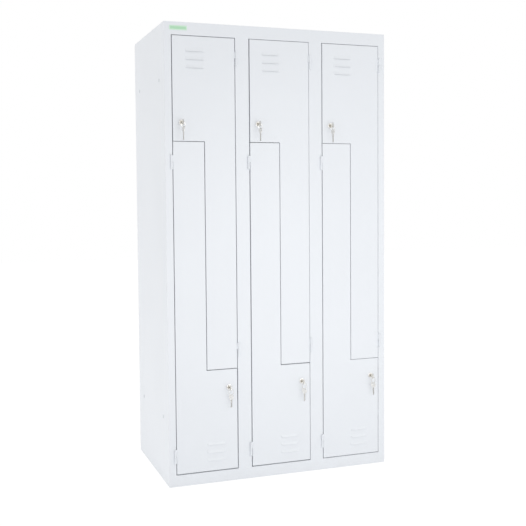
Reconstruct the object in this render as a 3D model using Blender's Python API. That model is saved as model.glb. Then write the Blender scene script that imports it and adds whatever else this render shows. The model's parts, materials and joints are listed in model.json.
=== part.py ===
"""Steel z locker: three columns, each closed by an upper and a lower L-shaped door.

Metres, +Z up. The face looks along -Y and +X is on the right seen from the front.
The origin lies on the floor under the middle of the whole part, hanging keys included.
"""

import math

import bmesh
import bpy
from mathutils import Matrix, Vector

# Carcass
body_width = 0.900
body_height = 1.740
body_depth = 0.550
column_count = 3
sheet = 0.001  # steel of every folded piece
seam = 0.0003  # play between two pieces that meet
side_return = 0.012  # folded edge of a side panel and of a divider
roof_lip = 0.020
foot_flange = 0.025  # that the floor tray stands on, on each side
joining_hole_radius = 0.005
joining_hole_inset = 0.090  # from the front and from the back
joining_hole_top = 0.206  # below the roof
joining_hole_bottom = 0.252  # above the floor

# Front frame
side_stile = 0.027  # from the edge of a column to its doorway
top_rail = 0.0475
bottom_rail = 0.0433
stop_lip = 0.011
stop_clearance = 0.0025  # between a closed door and the lip behind it
frame_edge_radius = 0.0008

# Label plate
label_width = 0.067
label_height = 0.017
label_thickness = 0.0005
label_inset = 0.0205
label_drop = 0.0135

# Doors
door_gap = 0.0026
door_depth = 0.018
door_lip = 0.012
wide_height = 0.3905  # of a door's wide end, from gap to gap
edge_radius = 0.001
edge_steps = 3

# Louvres, pressed outwards and open at their lower edge
louvre_count = 3
louvre_length = 0.074
louvre_height = 0.0155
louvre_reach = 0.0035
louvre_pitch = 0.0303
louvre_margin = 0.0407  # from the end of the door to the first louvre
louvre_centre = 0.086  # from the lock side of the door
louvre_root = 0.002
louvre_fall_shares = (0, 0.3, 0.65, 1)
louvre_reach_shares = (0, 0.42, 0.8, 1)
louvre_metal_share = 0.8  # of the sheet, thinned by the pressing

# Partition between the two compartments of a column
partition_flange = 0.015
stop_band = 0.022

# Hinges, welded to the stile and standing in front of it
knuckle_radius = 0.004
knuckle_height = 0.027
hinge_inset = 0.004  # from the doorway's edge to the pin's axis
hinge_from_top = 0.0757  # from the door's upper end
hinge_from_bottom = 0.0702
pin_radius = 0.0022
pin_reach = 0.025
pin_seat = 0.002
foot_width = 0.005
strap_thickness = 0.0022
strap_depth = 0.010
strap_clearance = 0.0006
weld_share = 0.6  # of the sheet that a weld sinks into

# Cam locks
lock_inset = 0.0335  # from the door's free edge
lock_rise = 0.069  # from the end of the wide part that meets the other door
head_radius = 0.0105
head_height = 0.0027
head_bevel = 0.0008
housing_radius = 0.008
housing_length = 0.0185
plug_radius = 0.006
cam_clearance = 0.0008
cam_thickness = 0.002
cam_half_width = 0.007
cam_reach = 0.033

# Keys and rings
key_length = 0.052
key_thickness = 0.002
bow_radius = 0.011
key_hole_radius = 0.00275
key_hole_rim = 0.0026
blade_half_height = 0.0036
blade_tip = 0.003
keyway_depth = 0.023  # from the lock's front
key_tip_play = 0.0005
bit_shares = (0.30, 0.62, 0.20, 0.50, 0.36)  # cut depths, of the blade's half height
bit_span = 0.019
bit_start = 0.004
wire_radius = 0.0008
upper_ring_diameter = 0.017
lower_ring_diameter = 0.025
upper_chain_turn = math.radians(8)
lower_chain_turn = math.radians(28)

# Sides of the round pieces
round_steps = 20
small_steps = 16
pin_steps = 12
ring_steps = 20
wire_steps = 8
arc_steps = 16
overrun = 0.004  # how far a cutter passes the piece it cuts
merge_distance = 0.00001

# Worked out from the sizes above
module_width = body_width / column_count
half_opening = module_width / 2 - side_stile
opening_bottom = bottom_rail
opening_top = body_height - top_rail
upper_step = opening_top - door_gap / 2 - wide_height
lower_step = opening_bottom + door_gap / 2 + wide_height
sleeve_depth = door_depth + stop_clearance
stop_back = sleeve_depth + sheet
cam_front = stop_back + cam_clearance
lock_front = seam + head_height
key_tip = keyway_depth - lock_front - key_tip_play
hole_from_end = key_hole_rim + key_hole_radius
hole_reach = key_length - hole_from_end - key_tip
wire_drop = key_hole_radius - wire_radius - seam
face_y = (hole_reach + bow_radius - body_depth) / 2
back_y = face_y + body_depth
inner_back_y = back_y - 2 * (sheet + seam)
inner_half_width = body_width / 2 - sheet
roof_under = body_height - sheet
leaf_half_width = half_opening - door_gap
leaf_top = opening_top - door_gap
leaf_bottom = opening_bottom + door_gap
door_middle = (opening_top + opening_bottom) / 2
hinge_x = half_opening + hinge_inset
hinge_y = face_y - seam - knuckle_radius
lock_x = leaf_half_width - lock_inset
upper_lock_z = upper_step + door_gap / 2 + lock_rise
lower_lock_z = lower_step - door_gap / 2 - lock_rise


def clear_scene():
    for item in list(bpy.data.objects):
        bpy.data.objects.remove(item)


def finish(name, colour, roughness, metallic):
    material = bpy.data.materials.new(name)
    material.use_nodes = True
    shader = material.node_tree.nodes["Principled BSDF"]
    shader.inputs["Base Color"].default_value = (*colour, 1)
    shader.inputs["Roughness"].default_value = roughness
    shader.inputs["Metallic"].default_value = metallic
    return material


def as_object(name, shape, material=None):
    """A new object that holds a bmesh shape, its faces turned outwards."""
    bmesh.ops.recalc_face_normals(shape, faces=shape.faces)
    mesh = bpy.data.meshes.new(name)
    shape.to_mesh(mesh)
    shape.free()
    if material:
        mesh.materials.append(material)
    made = bpy.data.objects.new(name, mesh)
    bpy.context.scene.collection.objects.link(made)
    return made


def in_space(axis, along, across, up):
    """A point given along an axis and in the plane square to it."""
    if axis == "X":
        return Vector((along, across, up))
    if axis == "Y":
        return Vector((across, along, up))
    return Vector((across, up, along))


def prism(name, outline, axis, start, end, material=None):
    """A closed outline drawn out along an axis."""
    shape = bmesh.new()
    face = shape.faces.new([shape.verts.new(in_space(axis, start, *point)) for point in outline])
    drawn = bmesh.ops.extrude_face_region(shape, geom=[face])["geom"]
    moved = [item for item in drawn if isinstance(item, bmesh.types.BMVert)]
    bmesh.ops.translate(shape, verts=moved, vec=in_space(axis, end - start, 0, 0))
    return as_object(name, shape, material)


def block(name, low, high, material=None):
    outline = [(low[0], low[1]), (high[0], low[1]), (high[0], high[1]), (low[0], high[1])]
    return prism(name, outline, "Z", low[2], high[2], material)


def rod(name, radius, axis, start, end, across, up, steps, material=None):
    """A round bar along an axis, its centre line at (across, up)."""
    turns = [2 * math.pi * step / steps for step in range(steps)]
    outline = [(across + radius * math.cos(turn), up + radius * math.sin(turn)) for turn in turns]
    return prism(name, outline, axis, start, end, material)


def turned(name, profile, axis, steps, material=None):
    """A closed profile of (radius, place along the axis) spun round the axis."""
    shape = bmesh.new()
    points = [shape.verts.new(in_space(axis, along, radius, 0)) for radius, along in profile]
    sides = [shape.edges.new(pair) for pair in zip(points, points[1:] + points[:1])]
    bmesh.ops.spin(
        shape,
        geom=points + sides,
        cent=(0, 0, 0),
        axis=in_space(axis, 1, 0, 0),
        angle=2 * math.pi,
        steps=steps,
    )
    bmesh.ops.remove_doubles(shape, verts=shape.verts, dist=merge_distance)
    return as_object(name, shape, material)


def combine(target, others, operation):
    """Join other solids to the target, or cut them from it, and delete them."""
    for other in others:
        step = target.modifiers.new(operation.title(), "BOOLEAN")
        step.operation = operation
        step.solver = "EXACT"
        step.object = other
    bpy.context.view_layer.update()
    graph = bpy.context.evaluated_depsgraph_get()
    made = bpy.data.meshes.new_from_object(target.evaluated_get(graph))
    target.modifiers.clear()
    target.data = made
    for other in others:
        bpy.data.objects.remove(other)


def smooth(target):
    target.data.shade_smooth()
    target.data.set_sharp_from_angle(angle=math.radians(35))


def set_origin(target, place):
    """Move the origin to a place and leave the shape where it is."""
    target.data.transform(Matrix.Translation(-Vector(place)))
    target.location = place


def copy_of(original, name, shift_x):
    made = original.copy()
    made.name = name
    made.location.x += shift_x
    bpy.context.scene.collection.objects.link(made)
    return made


def attach(child, parent):
    """Parent a child that stays where it is."""
    bpy.context.view_layer.update()
    child.parent = parent
    child.matrix_parent_inverse = parent.matrix_world.inverted()


def pivot(name, place, turn, parent):
    """An empty on the axis that the piece under it swings about."""
    made = bpy.data.objects.new(name, None)
    bpy.context.scene.collection.objects.link(made)
    made.location = place
    made.rotation_euler.z = turn
    attach(made, parent)
    return made


def strip(path, thickness):
    """The outline of sheet of even thickness that follows a path of straight runs."""
    points = [Vector(point) for point in path]
    runs = [(b - a).normalized() for a, b in zip(points, points[1:])]
    sides = [Vector((-run.y, run.x)) for run in runs]
    left, right = [], []
    for index, point in enumerate(points):
        before = sides[max(index - 1, 0)]
        after = sides[min(index, len(sides) - 1)]
        mitre = (before + after) / (1 + before.dot(after))
        left.append(point + mitre * thickness / 2)
        right.append(point - mitre * thickness / 2)
    return left + right[::-1]


def moved_in(outline, distance):
    """A right-angled outline, drawn anticlockwise, with each side moved inwards."""
    points = [Vector(point) for point in outline]
    made = []
    for index, point in enumerate(points):
        before = (point - points[index - 1]).normalized()
        after = (points[(index + 1) % len(points)] - point).normalized()
        inwards = Vector((-before.y, before.x)) + Vector((-after.y, after.x))
        made.append(point + inwards * distance)
    return made


def add_ring(shape, outline, inset, depth):
    """One ring of points and edges round an outline, at a depth behind the face."""
    points = [
        shape.verts.new(in_space("Y", face_y + depth, *point))
        for point in moved_in(outline, inset)
    ]
    edges = [shape.edges.new(pair) for pair in zip(points, points[1:] + points[:1])]
    return points, edges


def skin_rings(shape, rings):
    """Walls between each ring and the next."""
    for (first, _), (second, _) in zip(rings, rings[1:]):
        count = len(first)
        for index in range(count):
            after = (index + 1) % count
            shape.faces.new((first[index], first[after], second[after], second[index]))


def rounded_edge(radius, steps):
    """(inset, depth) stations of a rounded front edge, from the face to the side."""
    turns = [math.pi / 2 * step / steps for step in range(steps + 1)]
    return [(radius * (1 - math.sin(turn)), radius * (1 - math.cos(turn))) for turn in turns]


def rectangle(left, right, bottom, top):
    return [(left, bottom), (right, bottom), (right, top), (left, top)]


def column_centres():
    return [(index - (column_count - 1) / 2) * module_width for index in range(column_count)]


def front_frame(material):
    """Face plate with a folded sleeve and stop lip round each doorway."""
    shape = bmesh.new()
    outside = rectangle(-body_width / 2, body_width / 2, 0, body_height)
    rim = [
        add_ring(shape, outside, inset, depth)
        for inset, depth in rounded_edge(frame_edge_radius, edge_steps) + [(0, sheet)]
    ]
    skin_rings(shape, rim)
    front_edges = list(rim[0][1])
    back_edges = list(rim[-1][1])
    stations = [
        (0, 0),
        (0, sleeve_depth),
        (stop_lip, sleeve_depth),
        (stop_lip, stop_back),
        (-sheet, stop_back),
        (-sheet, sheet),
    ]
    for centre in column_centres():
        doorway = rectangle(centre - half_opening, centre + half_opening, opening_bottom, opening_top)
        sleeve = [add_ring(shape, doorway, inset, depth) for inset, depth in stations]
        skin_rings(shape, sleeve)
        front_edges += sleeve[0][1]
        back_edges += sleeve[-1][1]
    bmesh.ops.triangle_fill(shape, edges=front_edges, normal=(0, -1, 0), use_beauty=True)
    bmesh.ops.triangle_fill(shape, edges=back_edges, normal=(0, 1, 0), use_beauty=True)
    return as_object("front_frame", shape, material)


def side_panel(name, side, material):
    """Side sheet with its front and back edges folded in. side is -1 or 1."""
    outer = side * (body_width / 2 - sheet / 2)
    inner = side * (body_width / 2 - side_return)
    front = face_y + sheet + seam + sheet / 2
    back = back_y - sheet - seam - sheet / 2
    path = [(inner, front), (outer, front), (outer, back), (inner, back)]
    top = roof_under - seam
    panel = prism(name, strip(path, sheet), "Z", 0, top, material)
    ends = sorted((outer - side * overrun, outer + side * overrun))
    holes = []
    for y in (face_y + joining_hole_inset, back_y - joining_hole_inset):
        for z in (joining_hole_bottom, body_height - joining_hole_top):
            holes.append(rod("hole", joining_hole_radius, "X", *ends, y, z, small_steps))
    combine(panel, holes, "DIFFERENCE")
    return panel


def back_panel(material):
    low = (-body_width / 2, back_y - sheet, 0)
    high = (body_width / 2, back_y, roof_under - seam)
    return block("back_panel", low, high, material)


def top_panel(material):
    """Roof plate with a lip that hangs inside each side panel."""
    low = (-body_width / 2, face_y + sheet + seam, roof_under)
    roof = block("top_panel", low, (body_width / 2, back_y, body_height), material)
    lips = []
    for side in (-1, 1):
        outer = side * (inner_half_width - seam)
        ends = sorted((outer, outer - side * sheet))
        lip_low = (ends[0], face_y + 2 * (sheet + seam), body_height - roof_lip)
        lips.append(block("lip", lip_low, (ends[1], inner_back_y, roof_under + sheet * weld_share)))
    combine(roof, lips, "UNION")
    return roof


def bottom_panel(material):
    """Floor tray on folded sides, each turned in at the ground."""
    edge = inner_half_width - seam - sheet / 2
    foot = edge - foot_flange
    low = sheet / 2
    level = bottom_rail - sheet / 2
    path = [(-foot, low), (-edge, low), (-edge, level), (edge, level), (edge, low), (foot, low)]
    front = face_y + stop_back + seam
    return prism("bottom_panel", strip(path, sheet), "Y", front, inner_back_y, material)


def column_divider(name, x, material):
    """Upright sheet between two columns, folded along its back edge."""
    back = back_y - sheet - seam - sheet / 2
    path = [(x, face_y + sheet + seam), (x, back), (x + side_return, back)]
    return prism(name, strip(path, sheet), "Z", bottom_rail + seam, roof_under - seam, material)


def z_partition(name, column, material):
    """Shelf, upright and shelf in one folded sheet, with a stop band behind the doors' gaps."""
    centre = column_centres()[column]
    wall = sheet / 2
    left = centre - module_width / 2 + (sheet if column == 0 else wall) + seam + wall
    right = centre + module_width / 2 - (sheet if column == column_count - 1 else wall) - seam - wall
    runs = [(left, upper_step), (centre, upper_step), (centre, lower_step), (right, lower_step)]
    ends = [(left, upper_step - partition_flange), (right, lower_step + partition_flange)]
    front = face_y + stop_back + seam
    folded = strip(ends[:1] + runs + ends[1:], sheet)
    partition = prism(name, folded, "Y", front + sheet * weld_share, inner_back_y, material)
    band = prism("band", strip(runs, stop_band), "Y", front, front + sheet)
    combine(partition, [band], "UNION")
    return partition


def label_plate(material):
    left = -body_width / 2 + label_inset
    top = body_height - label_drop
    low = (left, face_y - seam - label_thickness, top - label_height)
    return block("label_plate", low, (left + label_width, face_y - seam, top), material)


def hinge_heights(low, high):
    """Where the two halves of each hinge meet, on a door between two heights."""
    return (low + hinge_from_bottom, high - hinge_from_top)


def hinge_leaf_outline(side):
    """Rolled knuckle and the strap that runs back from it along the door's edge."""
    strap_front = face_y - seam - strap_thickness
    weld_x = leaf_half_width - sheet * weld_share
    strap_x = half_opening - strap_clearance
    last = math.asin((strap_front - hinge_y) / knuckle_radius) + math.pi
    turns = [math.pi / 2 - (math.pi / 2 + last) * step / arc_steps for step in range(arc_steps + 1)]
    rolled = [
        (hinge_x + knuckle_radius * math.cos(turn), hinge_y + knuckle_radius * math.sin(turn))
        for turn in turns
    ]
    strap = [
        (weld_x, strap_front),
        (weld_x, face_y + strap_depth),
        (strap_x, face_y + strap_depth),
        (strap_x, face_y - seam),
    ]
    return [(side * x, y) for x, y in rolled + strap]


def hinge_knuckles(side, heights):
    """Door halves of a door's hinges and the bores through them. side is the hinged side."""
    axis_x = side * hinge_x
    solids, bores = [], []
    for height in heights:
        low = height + seam
        high = height + knuckle_height
        solids.append(prism("knuckle", hinge_leaf_outline(side), "Z", low, high))
        bore_ends = (low - overrun, high + overrun)
        bores.append(rod("bore", pin_radius + seam, "Z", *bore_ends, axis_x, hinge_y, pin_steps))
    return solids, bores


def louvre(centre_x, top):
    """The pressed hood of one louvre, its end cheeks and the window behind it."""
    half = louvre_length / 2
    middle_y = face_y + sheet / 2
    slope = [
        (middle_y - louvre_reach * reach, top - louvre_height * fall)
        for fall, reach in zip(louvre_fall_shares, louvre_reach_shares)
    ]
    ends = (centre_x - half, centre_x + half)
    hood = prism(
        "hood",
        strip([(middle_y, top + louvre_root)] + slope, sheet * louvre_metal_share),
        "X",
        ends[0] - sheet / 4,
        ends[1] + sheet / 4,
    )
    cheek = [(middle_y, top + louvre_root / 2)] + slope[1:] + [(middle_y, top - louvre_height - sheet)]
    cheeks = [prism("cheek", cheek, "X", x - sheet / 2, x + sheet / 2) for x in ends]
    window = block(
        "window",
        (ends[0], face_y - overrun, top - louvre_height),
        (ends[1], face_y + sheet * 2, top),
    )
    return window, [hood] + cheeks


def door(name, upper, material):
    """L-shaped pan door of the middle column: folded edges, louvres, lock hole, hinge halves."""
    outline = [
        (-leaf_half_width, upper_step + door_gap / 2),
        (door_gap / 2, upper_step + door_gap / 2),
        (door_gap / 2, lower_step + door_gap / 2),
        (leaf_half_width, lower_step + door_gap / 2),
        (leaf_half_width, leaf_top),
        (-leaf_half_width, leaf_top),
    ]
    if not upper:
        outline = [(-x, 2 * door_middle - z) for x, z in outline]
    shape = bmesh.new()
    stations = rounded_edge(edge_radius, edge_steps) + [
        (0, door_depth),
        (door_lip, door_depth),
        (door_lip, door_depth - sheet),
        (sheet, door_depth - sheet),
        (sheet, sheet),
    ]
    rings = [add_ring(shape, outline, inset, depth) for inset, depth in stations]
    skin_rings(shape, rings)
    shape.faces.new(rings[0][0])
    shape.faces.new(rings[-1][0])
    leaf = as_object(name, shape, material)

    hinge_side = 1 if upper else -1
    group_height = louvre_height + (louvre_count - 1) * louvre_pitch
    first_top = leaf_top - louvre_margin if upper else leaf_bottom + louvre_margin + group_height
    windows, hoods = [], []
    for index in range(louvre_count):
        centre_x = -hinge_side * (leaf_half_width - louvre_centre)
        window, pressed = louvre(centre_x, first_top - index * louvre_pitch)
        windows.append(window)
        hoods += pressed
    lock_z = upper_lock_z if upper else lower_lock_z
    hole_ends = (face_y - overrun, face_y + sheet * 2)
    hole_radius = housing_radius + seam
    windows.append(
        rod("lock_hole", hole_radius, "Y", *hole_ends, -hinge_side * lock_x, lock_z, round_steps)
    )
    low = lower_step + door_gap / 2 if upper else leaf_bottom
    high = leaf_top if upper else upper_step - door_gap / 2
    knuckles, bores = hinge_knuckles(hinge_side, hinge_heights(low, high))
    combine(leaf, windows, "DIFFERENCE")
    combine(leaf, hoods + knuckles, "UNION")
    combine(leaf, bores, "DIFFERENCE")
    set_origin(leaf, (hinge_side * hinge_x, hinge_y, door_middle))
    return leaf, hinge_heights(low, high)


def frame_hinge(name, material):
    """Frame half of a hinge: knuckle, weld foot and pin. Its origin is where the halves meet."""
    half = rod(name, knuckle_radius, "Z", -knuckle_height, 0, 0, 0, small_steps, material)
    foot_low = (-foot_width / 2, 0, seam - knuckle_height)
    foot = block("foot", foot_low, (foot_width / 2, knuckle_radius, -seam))
    pin = rod("pin", pin_radius, "Z", -pin_seat, pin_reach, 0, 0, pin_steps)
    combine(half, [foot, pin], "UNION")
    smooth(half)
    return half


def lock_housing(name, material):
    """Flanged bush through the door. Its origin is on the lock's axis in the door's face."""
    bore = plug_radius + seam
    profile = [
        (bore, -lock_front),
        (head_radius - head_bevel, -lock_front),
        (head_radius, head_bevel - lock_front),
        (head_radius, -seam),
        (housing_radius, -seam),
        (housing_radius, housing_length),
        (bore, housing_length),
    ]
    housing = turned(name, profile, "Y", round_steps, material)
    smooth(housing)
    return housing


def cam_outline(tip):
    """A flat arm with round ends, from the plug's axis to a tip above or below it."""
    turns = [math.pi * step / arc_steps for step in range(arc_steps + 1)]
    side = math.copysign(1, tip)
    near = [(math.cos(turn), -side * math.sin(turn)) for turn in turns]
    far = [(-math.cos(turn), side * math.sin(turn)) for turn in turns]
    return [(x * cam_half_width, z * cam_half_width) for x, z in near] + [
        (x * cam_half_width, tip + z * cam_half_width) for x, z in far
    ]


def lock_plug(name, cam_side, material):
    """Plug with its keyway and the cam on its tail. cam_side is -1 down or 1 up at rest."""
    cam_middle = cam_front + cam_thickness / 2
    plug = rod(name, plug_radius, "Y", -lock_front, cam_middle, 0, 0, round_steps, material)
    arm = cam_outline(cam_side * (cam_reach - cam_half_width))
    combine(plug, [prism("cam", arm, "Y", cam_front, cam_front + cam_thickness)], "UNION")
    half_height = blade_half_height + seam
    half_width = key_thickness / 2 + seam
    keyway = block(
        "keyway",
        (-half_width, -lock_front - overrun, -half_height),
        (half_width, keyway_depth - lock_front, half_height),
    )
    combine(plug, [keyway], "DIFFERENCE")
    smooth(plug)
    return plug


def key_outline():
    """Bow up and blade down, round the centre of the ring hole."""
    bow_centre = hole_from_end - bow_radius
    tip = hole_from_end - key_length
    shoulder = math.asin(blade_half_height / bow_radius)
    first = shoulder - math.pi / 2
    last = math.pi * 3 / 2 - shoulder
    turns = [first + (last - first) * step / arc_steps for step in range(arc_steps + 1)]
    bow = [(bow_radius * math.cos(turn), bow_centre + bow_radius * math.sin(turn)) for turn in turns]
    pitch = bit_span / len(bit_shares)
    bits = []
    for index, share in enumerate(bit_shares):
        middle = tip + bit_start + pitch * (index + 1 / 2)
        depth = blade_half_height * (1 - share)
        bits += [(blade_half_height, middle - pitch / 2), (depth, middle - pitch / 6), (depth, middle + pitch / 6)]
    bits.append((blade_half_height, tip + bit_start + bit_span))
    end = [(-blade_half_height, tip + blade_tip), (0, tip)]
    return bow + end + bits


def key_solid(name, material):
    """A key in the plane square to X, its origin in the middle of the ring hole."""
    ends = (-key_thickness / 2, key_thickness / 2)
    key = prism(name, key_outline(), "X", *ends, material)
    hole_ends = (ends[0] - overrun, ends[1] + overrun)
    hole = rod("hole", key_hole_radius, "X", *hole_ends, 0, 0, small_steps)
    combine(key, [hole], "DIFFERENCE")
    return key


def ring_solid(name, diameter, material):
    """A wire ring in the plane square to Y that hangs from its origin."""
    turns = [2 * math.pi * step / wire_steps for step in range(wire_steps)]
    profile = [
        (diameter / 2 + wire_radius * math.cos(turn), wire_radius * math.sin(turn)) for turn in turns
    ]
    ring = turned(name, profile, "Y", ring_steps, material)
    ring.data.transform(Matrix.Translation((0, 0, -diameter / 2)))
    smooth(ring)
    return ring


def place_lock(label, leaf, x, z, patterns, turn, ring_diameter):
    """One lock in its door, with the key in it and the spare key on the ring below."""
    housing_pattern, plug_pattern, key_pattern, ring_pattern = patterns
    housing = copy_of(housing_pattern, f"{label}_lock_housing", 0)
    housing.location = (x, face_y, z)
    attach(housing, leaf)
    plug = copy_of(plug_pattern, f"{label}_lock_plug", 0)
    plug.location = (x, face_y, z)
    attach(plug, leaf)
    key = copy_of(key_pattern, f"{label}_key", 0)
    key.location = (x, face_y - hole_reach, z)
    key.rotation_euler.x = math.pi / 2
    attach(key, plug)
    ring_top = (x, face_y - hole_reach, z - wire_drop)
    ring_pivot = pivot(f"{label}_ring_pivot", ring_top, turn, key)
    ring = copy_of(ring_pattern, f"{label}_key_ring", 0)
    ring.location = ring_top
    ring.rotation_euler.z = turn
    attach(ring, ring_pivot)
    ring_bottom = (x, face_y - hole_reach, z - wire_drop - ring_diameter)
    spare_pivot = pivot(f"{label}_spare_pivot", ring_bottom, turn, ring)
    spare = copy_of(key_pattern, f"{label}_spare_key", 0)
    spare.location = (x, face_y - hole_reach, ring_bottom[2] - wire_drop)
    spare.rotation_euler.z = turn
    attach(spare, spare_pivot)


def build_row(row, paint, nickel, steel):
    """The three doors of one row with their hinges, locks, keys and rings."""
    upper = row == "upper"
    hinge_side = 1 if upper else -1
    lock_z = upper_lock_z if upper else lower_lock_z
    diameter = upper_ring_diameter if upper else lower_ring_diameter
    turn = upper_chain_turn if upper else lower_chain_turn
    leaf_pattern, heights = door("leaf_pattern", upper, paint)
    hinge_pattern = frame_hinge("hinge_pattern", paint)
    patterns = (
        lock_housing("housing_pattern", nickel),
        lock_plug("plug_pattern", -1 if upper else 1, nickel),
        key_solid("key_pattern", steel),
        ring_solid("ring_pattern", diameter, steel),
    )
    for number, centre in enumerate(column_centres(), start=1):
        label = f"{row}_{number}"
        leaf = copy_of(leaf_pattern, f"{row}_door_{number}", centre)
        for end, height in zip(("bottom", "top"), heights):
            hinge = copy_of(hinge_pattern, f"{label}_hinge_{end}", 0)
            hinge.location = (centre + hinge_side * hinge_x, hinge_y, height)
        place_lock(label, leaf, centre - hinge_side * lock_x, lock_z, patterns, turn, diameter)
    for pattern in (leaf_pattern, hinge_pattern, *patterns):
        bpy.data.objects.remove(pattern)


def main():
    clear_scene()
    paint = finish("pale_grey_paint", (0.80, 0.82, 0.84), 0.42, 0)
    nickel = finish("nickel_plate", (0.72, 0.69, 0.64), 0.28, 1)
    steel = finish("key_steel", (0.70, 0.68, 0.65), 0.32, 1)
    green = finish("green_label", (0.44, 0.73, 0.48), 0.5, 0)
    front_frame(paint)
    side_panel("left_side_panel", -1, paint)
    side_panel("right_side_panel", 1, paint)
    back_panel(paint)
    top_panel(paint)
    bottom_panel(paint)
    for column in range(column_count):
        z_partition(f"z_partition_{column + 1}", column, paint)
    for number, centre in enumerate(column_centres()[:-1], start=1):
        column_divider(f"column_divider_{number}", centre + module_width / 2, paint)
    label_plate(green)
    build_row("upper", paint, nickel, steel)
    build_row("lower", paint, nickel, steel)


main()
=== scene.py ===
"""The looks of a steel z locker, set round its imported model.

Metres, +Z up, the face looking along -Y. Each sub-assembly is a class that takes its places from
the model, makes its pieces with Blender's modelling operators and gives them their finish.
"""

import json
import logging
import math
from collections.abc import Callable, Iterable, Sequence
from dataclasses import dataclass
from enum import Enum

import bmesh
import bpy
from mathutils import Matrix, Vector


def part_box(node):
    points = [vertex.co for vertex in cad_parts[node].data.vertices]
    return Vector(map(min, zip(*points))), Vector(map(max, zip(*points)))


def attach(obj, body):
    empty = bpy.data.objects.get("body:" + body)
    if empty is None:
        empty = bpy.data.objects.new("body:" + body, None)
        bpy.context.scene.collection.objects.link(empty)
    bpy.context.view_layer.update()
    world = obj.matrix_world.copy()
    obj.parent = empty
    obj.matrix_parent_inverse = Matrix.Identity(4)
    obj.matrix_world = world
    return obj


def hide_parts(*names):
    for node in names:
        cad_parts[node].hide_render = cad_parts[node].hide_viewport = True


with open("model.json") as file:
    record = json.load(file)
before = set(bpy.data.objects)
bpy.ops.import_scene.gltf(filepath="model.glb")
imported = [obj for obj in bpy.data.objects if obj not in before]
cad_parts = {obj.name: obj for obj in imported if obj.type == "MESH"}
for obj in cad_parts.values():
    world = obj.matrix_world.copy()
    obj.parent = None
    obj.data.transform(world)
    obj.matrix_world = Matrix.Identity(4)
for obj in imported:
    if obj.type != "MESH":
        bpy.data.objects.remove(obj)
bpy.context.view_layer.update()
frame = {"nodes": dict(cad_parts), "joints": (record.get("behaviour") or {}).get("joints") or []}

log = logging.getLogger("z_locker")

Colour = tuple[float, float, float]
Place = tuple[float, float, float]
Factors = tuple[float, float, float]  # along each axis
Pairs = tuple[tuple[float, float], ...]
Test = Callable[[Vector, Vector], bool]

WHITE: Colour = (1, 1, 1)
TOUCH = 0.00002  # places closer than this are the same
OVERRUN = 0.002  # how far a cutter passes what it cuts
SEAM = 0.0003  # play between two pieces that meet
SHEET = 0.001  # steel of every folded piece
ALONG = 0.9  # a direction's share of an axis, above which it counts as lying along it
SQUARE = 0.01  # the share below which it counts as square to it
EASE_STEPS = 2  # faces across an eased edge
FLAT_WEIGHT = 100  # in the shading: 50 is neutral, and at 100 the large faces rule
FIRST_COLOUR, SECOND_COLOUR, MIXED_COLOUR = 6, 7, 2  # a Mix node's sockets for colours
SMOOTH_ANGLE = math.radians(32)
CORNER_ANGLE = math.radians(40)
FOLD_ANGLE = math.radians(60)
RIGHT, BACK, UP = Vector((1, 0, 0)), Vector((0, 1, 0)), Vector((0, 0, 1))
MIRROR = Matrix.Scale(-1, 4, RIGHT)


class Row(Enum):
    """The two doors of a column."""

    UPPER = "upper"
    LOWER = "lower"

    @property
    def side(self) -> int:
        """Which way the hinges and the wide end lie: 1 right and up, -1 left and down."""
        return 1 if self is Row.UPPER else -1


class Slot(Enum):
    """The record's material slots."""

    PAINT = "paint"
    NICKEL = "nickel"
    KEY_STEEL = "key_steel"
    LABEL = "label"


class Part(Enum):
    """What is picked from a mesh."""

    POINT = "VERT"
    EDGE = "EDGE"
    FACE = "FACE"


class Change(Enum):
    """What one solid does to another."""

    CUT = "DIFFERENCE"
    ADD = "UNION"
    CLIP = "INTERSECT"


class Axis(Enum):
    """A main direction, with the turn that lays a primitive's own Z along it."""

    X = (0, math.pi / 2, 0)
    Y = (-math.pi / 2, 0, 0)
    Z = (0, 0, 0)

    @property
    def unit(self) -> Vector:
        """The direction itself."""
        return {"X": RIGHT, "Y": BACK, "Z": UP}[self.name]


def near(value: float, target: float) -> bool:
    """Whether two lengths are the same."""
    return abs(value - target) < TOUCH


def between(value: float, low: float, high: float) -> bool:
    """Whether a length lies between two others, ends included."""
    return low - TOUCH < value < high + TOUCH


def dome(radius: float, foot: float, height: float, shape: Pairs) -> list[tuple[float, float]]:
    """A profile whose radii and places are shares of one radius and one height."""
    return [(radius * share, foot + height * rise) for share, rise in shape]


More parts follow.
